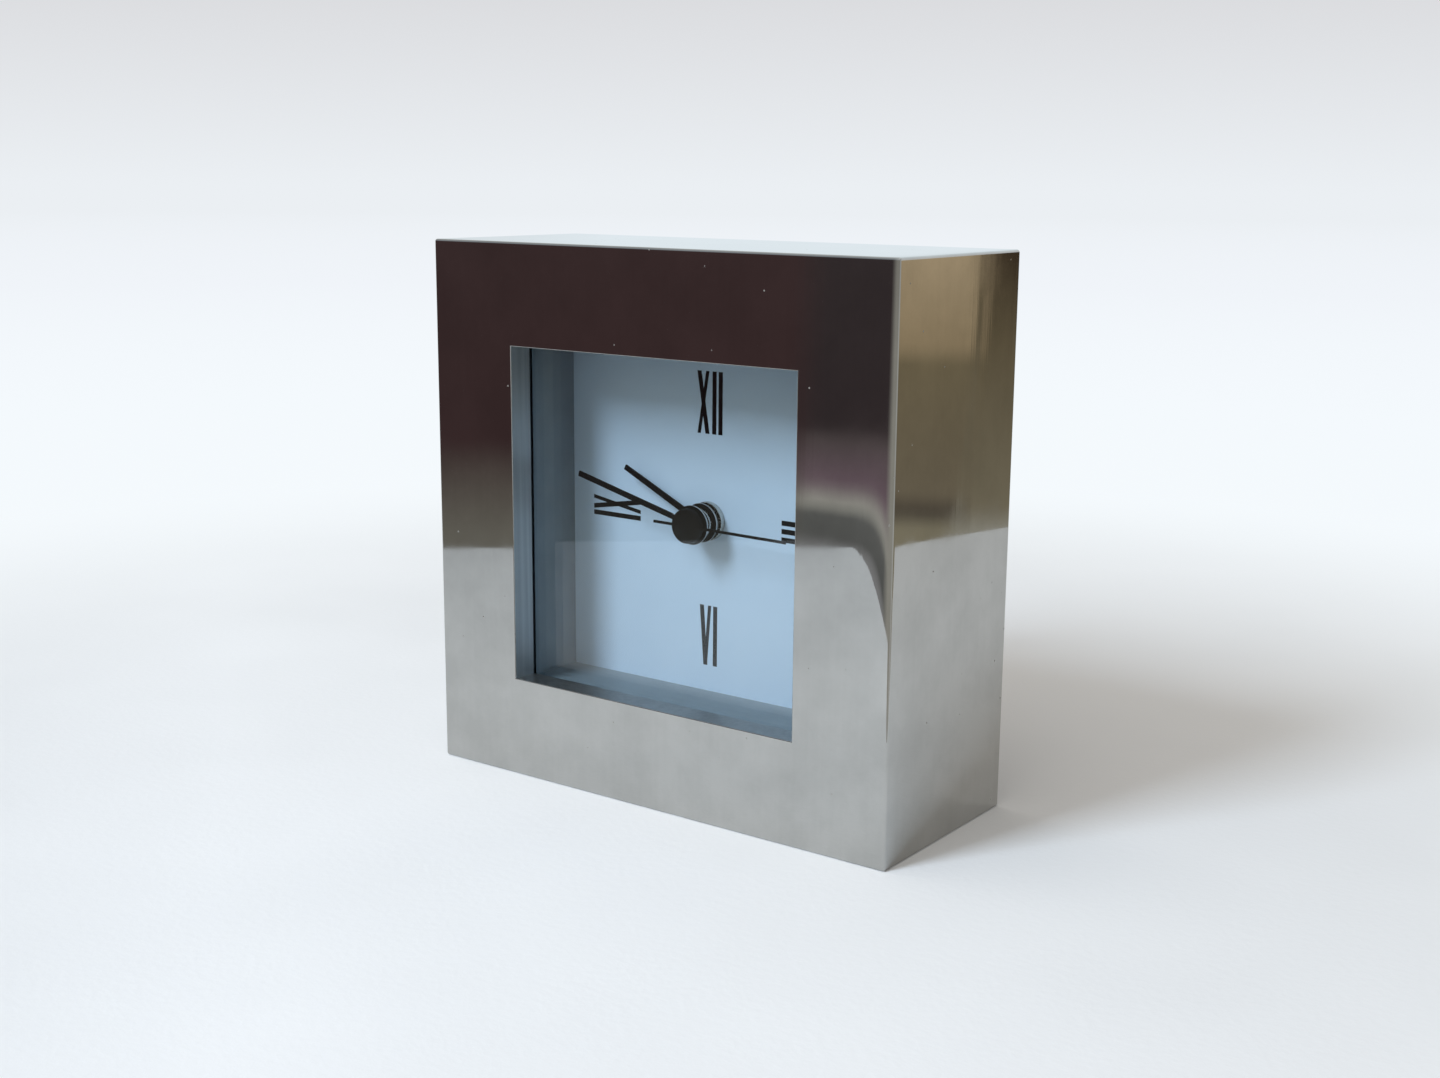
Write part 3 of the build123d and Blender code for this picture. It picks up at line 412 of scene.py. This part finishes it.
def dress(name, finish):
    """Gives a CAD node its finish."""
    slots = nodes[name].data.materials
    slots.clear()
    slots.append(finish)


for subpart in frame["record"]["subparts"]:
    dress(subpart["node"], finishes[subpart["material_slot"]])
dress("second_hand", material(black_lacquered_drum))

# The pane lets the lamps' light through to the dial
nodes["front_glass"].visible_shadow = False


def linked(name, shape):
    """An object of a finished bmesh, in the scene."""
    mesh = bpy.data.meshes.new(name)
    shape.to_mesh(mesh)
    shape.free()
    made = bpy.data.objects.new(name, mesh)
    bpy.context.scene.collection.objects.link(made)
    return made


def fitted(made, slot, finish=None, stands_for=()):
    """Puts a new piece on the clock's body, with the finish of its slot."""
    made.data.materials.append(finish or finishes[slot])
    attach(made, "clock")
    if stands_for:
        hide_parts(*stands_for)
    return made


# How a shape spun about its own axis is set in place: along the depth, or lying from left to right
FACING = Matrix(((1, 0, 0, 0), (0, 0, 1, -DEPTH / 2 * MM), (0, -1, 0, AXIS * MM), (0, 0, 0, 1)))
LYING = Matrix(((0, 0, 1, 0), (1, 0, 0, 0), (0, 1, 0, 0), (0, 0, 0, 1)))
# Points nearer than this count as one
TINY = 0.001
# Edges sharper than the first stay sharp on smooth pieces, and edges sharper than the second are softened
SHARP_ANGLE = 50.0
SOFT_ANGLE = 35.0


def spun(profile, steps, placed, corner=0.0):
    """A profile of (distance from the axis, place along it), spun and set in place. Four steps with a
    corner of 1 give a square whose half width is the distance."""
    shape = bmesh.new()
    points = [shape.verts.new((out * MM, corner * out * MM, along * MM)) for out, along in profile]
    edges = [shape.edges.new((points[i - 1], points[i])) for i in range(len(points))]
    bmesh.ops.spin(shape, geom=points + edges, cent=(0, 0, 0), axis=(0, 0, 1), angle=2 * pi, steps=steps,
                   use_merge=True)
    bmesh.ops.remove_doubles(shape, verts=shape.verts, dist=TINY * MM)
    bmesh.ops.dissolve_degenerate(shape, edges=shape.edges, dist=TINY * MM)
    bmesh.ops.transform(shape, matrix=placed, verts=shape.verts)
    bmesh.ops.recalc_face_normals(shape, faces=shape.faces)
    return shape


def reach(vert):
    """How far a vertex lies from the hands' axis, measured as on a square."""
    return max(abs(vert.co.x), abs(vert.co.z - AXIS * MM)) / MM


def round_edges(shape, chosen, offset, segments):
    """Rounds the edges whose two ends pass a test."""
    edges = [edge for edge in shape.edges if all(chosen(vert) for vert in edge.verts)]
    bmesh.ops.bevel(shape, geom=edges, offset=offset * MM, offset_type="OFFSET", affect="EDGES",
                    segments=segments, profile=0.5, material=-1, clamp_overlap=True)


def smooth(made):
    """Smooth shading that keeps flat faces flat."""
    for polygon in made.data.polygons:
        polygon.use_smooth = True
    made.data.set_sharp_from_angle(angle=radians(SHARP_ANGLE))
    weighted = made.modifiers.new("flat faces stay flat", "WEIGHTED_NORMAL")
    weighted.weight = 100
    weighted.keep_sharp = True


# Case: its front plate and walls, the rim left by the rebate that the back cover lies in, how thick that
# cover is, and how wide the edges are rounded, in how many steps
FRONT_PLATE = 5.0
CASE_WALL = 5.0
COVER_RIM = 1.0
COVER_THICKNESS = 2.0
OUTER_ROUND = 0.5
OUTER_STEPS = 6
WINDOW_ROUND = 0.15
WINDOW_STEPS = 3
RIM_ROUND = 0.15
RIM_STEPS = 2
cover_far = depth_of(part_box("back_cover")[1].y)


def case():
    """Case: front plate with its window, four walls and the rebate for the cover."""
    rebate_floor = cover_far - COVER_THICKNESS
    pocket = HALF - CASE_WALL
    rebate = HALF - COVER_RIM
    profile = ((HALF, 0), (WINDOW_HALF, 0), (WINDOW_HALF, FRONT_PLATE), (pocket, FRONT_PLATE),
               (pocket, rebate_floor), (rebate, rebate_floor), (rebate, DEPTH), (HALF, DEPTH))
    shape = spun(profile, 4, FACING, 1.0)
    round_edges(shape, lambda v: reach(v) > HALF - TINY, OUTER_ROUND, OUTER_STEPS)
    round_edges(shape, lambda v: abs(reach(v) - WINDOW_HALF) < TINY and depth_of(v.co.y) < TINY,
                WINDOW_ROUND, WINDOW_STEPS)
    round_edges(shape, lambda v: abs(reach(v) - rebate) < TINY and depth_of(v.co.y) > DEPTH - TINY,
                RIM_ROUND, RIM_STEPS)
    made = fitted(linked("case", shape), "polished_metal", stands_for=("case_shell",))
    smooth(made)


case()

# Numerals: thin printed strokes on the dial
PRINT_THICKNESS = 0.02
NUMERAL_INNER = 16.0
NUMERAL_OUTER = 27.4
STROKE = 0.92
THIN_STROKE = 0.72
LETTER_WIDTHS = {"I": STROKE, "V": 2.7, "X": 2.8}
dial_depth = depth_of(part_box("dial_plate")[0].y)


def stroke(shape, start, end, width, turn):
    """One printed stroke between two places, its ends cut level, turned about the hands' axis."""
    half = width / 2
    corners = ((start[0] - half, start[1]), (start[0] + half, start[1]),
               (end[0] + half, end[1]), (end[0] - half, end[1]))
    turned = Matrix.Rotation(turn, 2)
    places = [turned @ Vector(corner) for corner in corners]
    ground = (dial_depth - DEPTH / 2) * MM
    face = shape.faces.new([shape.verts.new((u * MM, ground, (AXIS + v) * MM)) for u, v in places])
    lifted = bmesh.ops.extrude_face_region(shape, geom=[face])
    raised = [item for item in lifted["geom"] if isinstance(item, bmesh.types.BMVert)]
    bmesh.ops.translate(shape, verts=raised, vec=(0, -PRINT_THICKNESS * MM, 0))


def numeral(name, letters, gaps, turn, low, high):
    """A Roman numeral as one printed piece, with its letters from left to right."""
    left = -(sum(LETTER_WIDTHS[letter] for letter in letters) + sum(gaps)) / 2
    shape = bmesh.new()
    for letter, gap in zip(letters, (*gaps, 0.0)):
        right = left + LETTER_WIDTHS[letter]
        first = left + STROKE / 2
        last = right - STROKE / 2
        if letter == "I":
            stroke(shape, (first, low), (first, high), STROKE, turn)
        elif letter == "V":
            apex = (left + right) / 2
            stroke(shape, (apex, low), (first, high), STROKE, turn)
            stroke(shape, (apex, low), (last, high), THIN_STROKE, turn)
        else:
            stroke(shape, (last, low), (first, high), STROKE, turn)
            stroke(shape, (first, low), (last, high), THIN_STROKE, turn)
        left = right + gap
    bmesh.ops.recalc_face_normals(shape, faces=shape.faces)
    fitted(linked(name, shape), "hand_black", ink)


numeral("numeral_twelve", "XII", (0.6, 0.45), 0.0, NUMERAL_INNER, NUMERAL_OUTER)
numeral("numeral_three", "III", (0.6, 0.6), -pi / 2, NUMERAL_INNER, NUMERAL_OUTER)
numeral("numeral_six", "VI", (0.36,), 0.0, -NUMERAL_OUTER, -NUMERAL_INNER)
numeral("numeral_nine", "IX", (0.28,), pi / 2, NUMERAL_INNER, NUMERAL_OUTER)

# Cover screws: countersunk heads with a cross recess, each turned as it was left
HEAD_RADIUS = 1.9
HEAD_HEIGHT = 1.0
HEAD_EDGE = 0.12
SHANK_RADIUS = 1.0
SHANK_POINT = 0.6
SCREW_STEPS = 32
SCREW_SOFT = 0.03
SCREW_TURNS = (0.3, 1.1, 0.7, 0.15)
RECESS_HALF = 0.24
RECESS_ARM = 0.9
RECESS_DEPTH = 0.7
RECESS_TAPER = 0.55
RECESS_LEAD = 0.1
screws_low, screws_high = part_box("cover_screws")


def cross_cutter(turned):
    """What the cross recess takes away: a cross that narrows as it goes in."""
    shape = bmesh.new()
    bmesh.ops.create_grid(shape, x_segments=1, y_segments=1, size=RECESS_HALF * MM)
    for edge in shape.edges[:]:
        outward = (edge.verts[0].co + edge.verts[1].co).normalized()
        arm = bmesh.ops.extrude_edge_only(shape, edges=[edge])
        tips = [item for item in arm["geom"] if isinstance(item, bmesh.types.BMVert)]
        bmesh.ops.translate(shape, verts=tips, vec=outward * RECESS_ARM * MM)
    bmesh.ops.translate(shape, verts=shape.verts, vec=(0, 0, RECESS_LEAD * MM))
    sunk = bmesh.ops.extrude_face_region(shape, geom=shape.faces[:])
    floor_verts = [item for item in sunk["geom"] if isinstance(item, bmesh.types.BMVert)]
    bmesh.ops.translate(shape, verts=floor_verts, vec=(0, 0, -(RECESS_DEPTH + RECESS_LEAD) * MM))
    bmesh.ops.scale(shape, verts=floor_verts, vec=(RECESS_TAPER, RECESS_TAPER, 1))
    bmesh.ops.rotate(shape, verts=shape.verts, matrix=Matrix.Rotation(turned, 3, "Z"))
    bmesh.ops.recalc_face_normals(shape, faces=shape.faces)
    return shape


def cut(body, cutter):
    """A body's mesh with a cutter taken away."""
    difference = body.modifiers.new("recess", "BOOLEAN")
    difference.operation = "DIFFERENCE"
    difference.object = cutter
    difference.solver = "EXACT"
    evaluated = body.evaluated_get(bpy.context.evaluated_depsgraph_get())
    mesh = bpy.data.meshes.new_from_object(evaluated)
    body.modifiers.clear()
    return mesh


def cover_screws():
    """Four screws as one piece."""
    length = (screws_high.y - screws_low.y) / MM
    profile = ((0, 0), (HEAD_RADIUS - HEAD_EDGE, 0), (HEAD_RADIUS, -HEAD_EDGE),
               (SHANK_RADIUS, -HEAD_HEIGHT), (SHANK_RADIUS, SHANK_POINT - length), (0, -length))
    whole = bmesh.new()
    u = screws_high.x / MM - HEAD_RADIUS
    v = screws_high.z / MM - AXIS - HEAD_RADIUS
    for turned, (across, up) in zip(SCREW_TURNS, ((-u, -v), (u, -v), (-u, v), (u, v))):
        body = linked("screw_blank", spun(profile, SCREW_STEPS, Matrix.Identity(4)))
        cutter = linked("recess_cutter", cross_cutter(turned))
        mesh = cut(body, cutter)
        mesh.transform(Matrix.Translation((across * MM, -up * MM, cover_far * MM)))
        mesh.transform(FACING)
        whole.from_mesh(mesh)
        for scratch in (body, cutter):
            scratch_mesh = scratch.data
            bpy.data.objects.remove(scratch)
            bpy.data.meshes.remove(scratch_mesh)
        bpy.data.meshes.remove(mesh)
    made = fitted(linked("cross_head_screws", whole), "screw_steel", stands_for=("cover_screws",))
    edge = made.modifiers.new("softened edges", "BEVEL")
    edge.width = SCREW_SOFT * MM
    edge.segments = 1
    edge.limit_method = "ANGLE"
    edge.angle_limit = radians(SOFT_ANGLE)


cover_screws()

# Cell: a sleeve rolled over a steel can at both ends, with a fine step along its cut edge
SLEEVE_FOLD = 0.45
SLEEVE_LAP = 1.3
SLEEVE_THICKNESS = 0.1
SLEEVE_SLOPE = 0.2
NUB_RADIUS = 2.75
NUB_HEIGHT = 1.2
NUB_ROUND = 0.25
CELL_STEPS = 64
CELL_SHARP_ANGLE = 40.0


def cell():
    """Cell: a can with its nub, in a sleeve folded over its ends."""
    low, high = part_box("aa_cell")
    radius = (high.z - low.z) / 2 / MM
    right = high.x / MM
    left = low.x / MM
    shoulder = right - NUB_HEIGHT
    lap = radius - SLEEVE_LAP
    slope = lap + SLEEVE_SLOPE
    fold = radius - SLEEVE_FOLD
    ledge = shoulder - SLEEVE_THICKNESS
    profile = ((0, left), (lap, left), (lap, left + SLEEVE_THICKNESS), (slope, left), (fold, left),
               (radius, left + SLEEVE_FOLD), (radius, shoulder - SLEEVE_FOLD), (fold, shoulder),
               (slope, shoulder), (lap, ledge), (NUB_RADIUS, ledge),
               (NUB_RADIUS, right - NUB_ROUND), (NUB_RADIUS - NUB_ROUND, right), (0, right))
    middle = (low + high) / 2
    placed = Matrix.Translation((0, middle.y, middle.z)) @ LYING
    made = linked("cell", spun(profile, CELL_STEPS, placed))
    fitted(made, "cell_jacket", stands_for=("aa_cell",))
    made.data.materials.append(can_steel)
    for polygon in made.data.polygons:
        polygon.use_smooth = True
        away = Vector((0, polygon.center.y - middle.y, polygon.center.z - middle.z)).length / MM
        if away < (lap + slope) / 2:
            polygon.material_index = 1
    made.data.set_sharp_from_angle(angle=radians(CELL_SHARP_ANGLE))


cell()

# How CAD nodes lose their sharpness: by a bevel this wide, after their loose triangles are joined into
# whole faces
SOFT_WIDTHS = {"hour_hand": 0.05, "minute_hand": 0.05, "second_hand": 0.05, "hand_cap": 0.06,
               "hour_collet": 0.08, "centre_nut": 0.12, "back_cover": 0.2, "movement_rear": 0.2,
               "setting_knob": 0.1}
SOFT_STEPS = 2
JOIN_DISTANCE = 0.0005
FLAT_ANGLE = 1.0


def softened(name, width):
    """Takes the sharpness off a CAD node's edges, without touching its mesh."""
    weld = nodes[name].modifiers.new("joined", "WELD")
    weld.merge_threshold = JOIN_DISTANCE * MM
    flat = nodes[name].modifiers.new("whole faces", "DECIMATE")
    flat.decimate_type = "DISSOLVE"
    flat.angle_limit = radians(FLAT_ANGLE)
    edge = nodes[name].modifiers.new("softened edges", "BEVEL")
    edge.width = width * MM
    edge.segments = SOFT_STEPS
    edge.limit_method = "ANGLE"
    edge.angle_limit = radians(SOFT_ANGLE)
    edge.harden_normals = True


for name, width in SOFT_WIDTHS.items():
    softened(name, width)

# Stage: a pale floor of white paper, and a sheet of the same that only reflections show. Each edge of
# the sheet is a direction and how far it lies that way: the case mirrors them as its horizon, and the
# paper has a painted shade, darker towards the first. To the camera it is a little brighter, and fades
# into the backdrop.
SHEET_FAR = 700.0
SHEET_EDGES = (((-0.636, -0.772), 242.0), ((0.665, -0.746), 116.0), ((0.961, 0.277), 232.8))
# Painted shade on the paper: where it starts, and how much of the paper's colour is left at the sheet's
# first edge
PAINTED_SHADE_START = 90.0
PAINTED_SHADE_SHARE = 0.72
FLOOR_RADIUS = 6000.0
FLOOR_DROP = 0.02
TOOTH_SIZE = 1.6
TOOTH_HEIGHT = 0.05
CLOUD_SIZE = 60.0
PAPER_LIFT = 0.03
PAPER_GAIN = 1.15
FADE_START = 110.0
FADE_END = 340.0
FAR_TONES = ((0.0, "#f5fafd"), (0.1, "#f4f9fd"), (0.25, "#f0f4f9"), (0.7, "#ebeff3"))


def white_paper(tree):
    """Matt drawing paper: white, with a faint tooth, and a painted shade towards the sheet's first edge.
    """
    place = node(tree, "TexCoord").outputs["Object"]
    camera_ray = node(tree, "LightPath").outputs["Is Camera Ray"]
    tooth = node(tree, "TexNoise", {"Scale": 1 / (TOOTH_SIZE * MM), "Detail": 3.0}, {"Vector": place})
    cloud = node(tree, "TexNoise", {"Scale": 1 / (CLOUD_SIZE * MM), "Detail": 2.0}, {"Vector": place})
    white = node(tree, "ValToRGB", links={"Fac": cloud}, stops=drifting("#e0e4e8", "#e4e8ec"))
    bump = node(tree, "Bump", {"Strength": 1.0, "Distance": TOOTH_HEIGHT * MM}, {"Height": tooth})
    # Painted shade: the paper's colour is made darker towards the sheet's first edge
    shade_way, shade_end = SHEET_EDGES[0]
    outward = node(tree, "VectorMath", {1: (*shade_way, 0.0)}, {0: place}, operation="DOT_PRODUCT")
    painted_shade = node(tree, "MapRange", {"From Min": PAINTED_SHADE_START * MM, "From Max": shade_end * MM,
                                     "To Min": 1.0, "To Max": PAINTED_SHADE_SHARE}, {"Value": outward})
    gain = node(tree, "MapRange", {"To Min": 1.0, "To Max": PAPER_GAIN}, {"Value": camera_ray})
    level = node(tree, "Math", links={0: painted_shade, 1: gain}, operation="MULTIPLY")
    colour = node(tree, "VectorMath", links={0: white, "Scale": level}, operation="SCALE")
    lift = node(tree, "Math", {1: PAPER_LIFT}, {0: camera_ray}, operation="MULTIPLY")
    paper = node(tree, "BsdfPrincipled",
                 {"Roughness": 0.9, "Specular IOR Level": 0.2, "Emission Color": linear("#eef4fb")},
                 {"Base Color": colour, "Normal": bump, "Emission Strength": lift})
    away = node(tree, "VectorMath", links={0: place}, operation="LENGTH")
    fade = node(tree, "MapRange", {"From Min": FADE_START * MM, "From Max": FADE_END * MM},
                {"Value": away}, interpolation_type="SMOOTHSTEP")
    seen = node(tree, "Math", links={0: fade, 1: camera_ray}, operation="MULTIPLY")
    far = node(tree, "MapRange", {"From Max": FLOOR_RADIUS * MM}, {"Value": away})
    tone = node(tree, "ValToRGB", links={"Fac": far}, stops=FAR_TONES)
    backdrop = node(tree, "Emission", {"Strength": 1.0}, {"Color": tone})
    return node(tree, "MixShader", links={0: seen, 1: paper, 2: backdrop})


paper = material(white_paper)


def staged(made):
    """A floor or card, which is no part of the object."""
    made.data.materials.append(paper)
    return made


def sheet():
    """The paper: a large square, cut along its edges."""
    shape = bmesh.new()
    bmesh.ops.create_grid(shape, x_segments=1, y_segments=1, size=SHEET_FAR * MM)
    for direction, reach_out in SHEET_EDGES:
        away = Vector((*direction, 0)).normalized()
        bmesh.ops.bisect_plane(shape, geom=shape.verts[:] + shape.edges[:] + shape.faces[:],
                               plane_co=away * reach_out * MM, plane_no=away, clear_outer=True)
    made = staged(linked("paper_sheet", shape))
    made.visible_camera = False
    made.visible_diffuse = False
    made.visible_shadow = False


def floor():
    """The pale floor."""
    shape = bmesh.new()
    bmesh.ops.create_circle(shape, cap_ends=True, segments=96, radius=FLOOR_RADIUS * MM)
    bmesh.ops.translate(shape, verts=shape.verts, vec=(0, 0, -FLOOR_DROP * MM))
    made = staged(linked("floor", shape))
    made.visible_glossy = False
    made.visible_transmission = False


sheet()
floor()

# What polished metal mirrors: a few broad plain tones for each direction, by the height of its line of
# sight. LEVEL_LOW is the lowest.
LEVEL_LOW = -0.25
FRONT_LEFT = ((0.05, "#7a776f"), (0.1, "#453435"), (0.55, "#4c3e3f"), (0.75, "#9aa0a6"))
FRONT_RIGHT = ((0.045, "#909092"), (0.05, "#646564"), (0.063, "#6a6b6a"), (0.069, "#b0afa8"),
               (0.08, "#7a6872"), (0.103, "#5e5556"), (0.11, "#3d3537"), (0.55, "#4a4243"),
               (0.75, "#9aa0a6"))
FRONT = ((0.1, "#a19f98"), (0.3, "#8b8883"), (1.0, "#d0d4d8"))
RIGHT = ((0.055, "#8e8773"), (0.064, "#544d45"), (0.075, "#7c7260"), (0.145, "#7e725a"),
         (0.155, "#a59274"), (0.22, "#c5b090"), (0.4, "#dcdfe2"))
RIGHT_BEHIND = ((0.063, "#a9a79d"), (0.085, "#817966"), (0.2, "#6c614c"), (0.27, "#3a2e23"),
                (0.36, "#30251b"), (0.5, "#dcdfe2"))
BEHIND = "#e6f0f6"
OVERHEAD = ((0.3, "#b9bab8"), (0.75, "#b2b4b5"), (1.0, "#eff3f6"))
# Where each of these takes over from another: FRONT_LEFT, FRONT, RIGHT_BEHIND and BEHIND by how far to
# the right the line of sight goes, the whole front by how far it goes along FRONTWARD, and OVERHEAD by
# how little it goes along that
FRONTWARD = (-0.35, -0.94, 0.0)
TO_FRONT_LEFT = (-0.54, -0.555)
TO_FRONT = (-0.41, -0.36)
TO_RIGHT_BEHIND = (0.4825, 0.4755)
TO_BEHIND = (0.3, 0.05)
TO_WHOLE_FRONT = (-0.2, 0.2)
TO_OVERHEAD = (0.5, 0.15)
# How far FRONT_RIGHT dips as the line of sight turns right, and how much of that reaches its upper bands
DIP_FROM = -0.535
DIP_TO = -0.3
DIP = 0.072
DIP_HIGH = 0.095
DIP_SHARE = 0.05
# Fine upright streaks in RIGHT_BEHIND: how many, and how they shift its edge and stretch its bands
STREAKS = 260.0
STREAK_SHIFT = 0.024
STREAK_STRETCH = 0.7
STRETCH_LEAST = 0.9
# Light on what isn't polished, by how far it comes from DAYLIGHT_FROM, and the camera's backdrop
DAYLIGHT = ((0.0, "#898680"), (0.45, "#918d87"), (0.8, "#f0e8df"), (1.0, "#fdf5ea"))
DAYLIGHT_FROM = (-0.55, -0.77, 0.33)
BACKDROP = ((0.24, "#ebeff3"), (0.34, "#dbdcdf"), (0.6, "#d4d5d8"))


def room():
    """Soft warm light, brightest from the front left. Polished metal mirrors dim tones in front, warm
    ones to the right, pale ones behind and above; the camera sees a plain pale backdrop."""
    world = bpy.data.worlds.new("room")
    bpy.context.scene.world = world
    world.use_nodes = True
    tree = world.node_tree
    tree.nodes.clear()
    direction = node(tree, "TexCoord").outputs["Generated"]
    axes = node(tree, "SeparateXYZ", links={0: direction}).outputs
    level = node(tree, "MapRange", {"From Min": LEVEL_LOW, "From Max": LEVEL_LOW + 1},
                 {"Value": axes["Z"]})
    turned = node(tree, "MapRange", {"From Min": DIP_FROM, "From Max": DIP_TO, "To Max": DIP},
                  {"Value": axes["X"]})
    share = node(tree, "MapRange", {"From Max": DIP_HIGH, "To Min": 1.0, "To Max": DIP_SHARE},
                 {"Value": level})
    dipped = node(tree, "Math", links={0: turned, 1: share, 2: level}, operation="MULTIPLY_ADD")
    streaks = node(tree, "TexNoise", {"Scale": STREAKS, "Detail": 2.0}, {"W": axes["X"]},
                   noise_dimensions="1D")
    stretch = node(tree, "Math", {1: STREAK_STRETCH, 2: STRETCH_LEAST}, {0: streaks},
                   operation="MULTIPLY_ADD")
    stretched = node(tree, "Math", links={0: level, 1: stretch}, operation="MULTIPLY")
    shifted = node(tree, "Math", {1: STREAK_SHIFT}, {0: streaks, 2: axes["X"]}, operation="MULTIPLY_ADD")
    facing = node(tree, "VectorMath", {1: FRONTWARD}, {0: direction}, operation="DOT_PRODUCT")
    sideways = node(tree, "Math", links={0: facing}, operation="ABSOLUTE")
    toward = node(tree, "VectorMath", {1: DAYLIGHT_FROM}, {0: direction}, operation="DOT_PRODUCT")
    brighter = node(tree, "MapRange", {"From Min": -1.0, "From Max": 1.0}, {"Value": toward})
    ramps = ((FRONT_RIGHT, dipped), (FRONT_LEFT, level), (FRONT, level), (RIGHT, level),
             (RIGHT_BEHIND, stretched), (OVERHEAD, axes["Z"]), (DAYLIGHT, brighter), (BACKDROP, level))
    front_right, front_left, front, right, right_behind, overhead, daylight, backdrop = [
        node(tree, "ValToRGB", links={"Fac": value}, stops=stops) for stops, value in ramps]
    turns = ((TO_FRONT_LEFT, axes["X"]), (TO_FRONT, axes["X"]), (TO_RIGHT_BEHIND, shifted),
             (TO_BEHIND, axes["X"]), (TO_WHOLE_FRONT, facing), (TO_OVERHEAD, sideways))
    to_front_left, to_front, to_right_behind, to_behind, to_whole_front, to_overhead = [
        node(tree, "MapRange", {"From Min": start, "From Max": end}, {"Value": value})
        for (start, end), value in turns]
    sides = node(tree, "Mix", links={"Factor": to_front_left, A: front_right, B: front_left},
                 data_type="RGBA")
    ahead = node(tree, "Mix", links={"Factor": to_front, A: sides, B: front}, data_type="RGBA")
    side = node(tree, "Mix", links={"Factor": to_right_behind, A: right, B: right_behind},
                data_type="RGBA")
    rear = node(tree, "Mix", {B: linear(BEHIND)}, {"Factor": to_behind, A: side}, data_type="RGBA")
    around = node(tree, "Mix", links={"Factor": to_whole_front, A: rear, B: ahead}, data_type="RGBA")
    mirrored = node(tree, "Mix", links={"Factor": to_overhead, A: around, B: overhead}, data_type="RGBA")
    path = node(tree, "LightPath").outputs
    bounced = node(tree, "Math", links={0: path["Is Glossy Ray"], 1: path["Is Transmission Ray"]},
                   operation="MAXIMUM")
    direct = node(tree, "Math", {1: 0.5}, {0: path["Diffuse Depth"]}, operation="LESS_THAN")
    reflected = node(tree, "Math", links={0: bounced, 1: direct}, operation="MULTIPLY")
    light = node(tree, "Mix", links={"Factor": reflected, A: daylight, B: mirrored}, data_type="RGBA")
    seen = node(tree, "Mix", links={"Factor": path["Is Camera Ray"], A: light, B: backdrop},
                data_type="RGBA")
    background = node(tree, "Background", {"Strength": 1.0}, {"Color": seen})
    node(tree, "OutputWorld", links={"Surface": background})


room()

# Key lamp: a soft light from the front left and above, as the hub's shadow on the dial tells
KEY_TURN = 19.0
KEY_RISE = 39.0
KEY_DISTANCE = 1200.0
KEY_WIDTH = 300.0
KEY_HEIGHT = 520.0
KEY_POWER = 9.6
KEY_COLOUR = "#e3f1ff"


def key_lamp():
    """One lamp like a tall window, turned to the middle of the dial, which reflections don't show."""
    lamp = bpy.data.lights.new("key_lamp", "AREA")
    lamp.shape = "RECTANGLE"
    lamp.size = KEY_WIDTH * MM
    lamp.size_y = KEY_HEIGHT * MM
    lamp.energy = KEY_POWER
    lamp.color = linear(KEY_COLOUR)[:3]
    made = bpy.data.objects.new("key_lamp", lamp)
    bpy.context.scene.collection.objects.link(made)
    made.visible_glossy = False
    made.visible_transmission = False
    turn, rise = radians(KEY_TURN), radians(KEY_RISE)
    away = Vector((-sin(turn) * cos(rise), -cos(turn) * cos(rise), sin(rise)))
    place = Vector((0, 0, AXIS * MM)) + away * KEY_DISTANCE * MM
    made.matrix_world = Matrix.Translation(place) @ away.to_track_quat("Z", "Y").to_matrix().to_4x4()


key_lamp()

# Camera: its place in millimetres, its turn round the clock, its dip and its tilt in degrees
CAMERA_PLACE = (191.6, -260.7, 113.3)
CAMERA_TURN = 36.1
CAMERA_DIP = 11.69
CAMERA_TILT = 0.45
IMAGE_WIDTH = 1440
FOCAL_PIXELS = 1795.4
CLIP_START = 5.0


def camera():
    """A camera at the photograph's place, with its lens worked out from the image's width."""
    lens = bpy.data.cameras.new("camera")
    lens.sensor_fit = "HORIZONTAL"
    lens.lens = lens.sensor_width * FOCAL_PIXELS / IMAGE_WIDTH
    lens.clip_start = CLIP_START * MM
    made = bpy.data.objects.new("camera", lens)
    bpy.context.scene.collection.objects.link(made)
    turned = Matrix.Rotation(radians(CAMERA_TURN), 4, "Z")
    dipped = Matrix.Rotation(radians(90 - CAMERA_DIP), 4, "X")
    tilted = Matrix.Rotation(radians(CAMERA_TILT), 4, "Z")
    made.matrix_world = Matrix.Translation(Vector(CAMERA_PLACE) * MM) @ turned @ dipped @ tilted
    bpy.context.scene.camera = made


camera()
bpy.context.scene.view_settings.view_transform = "Standard"
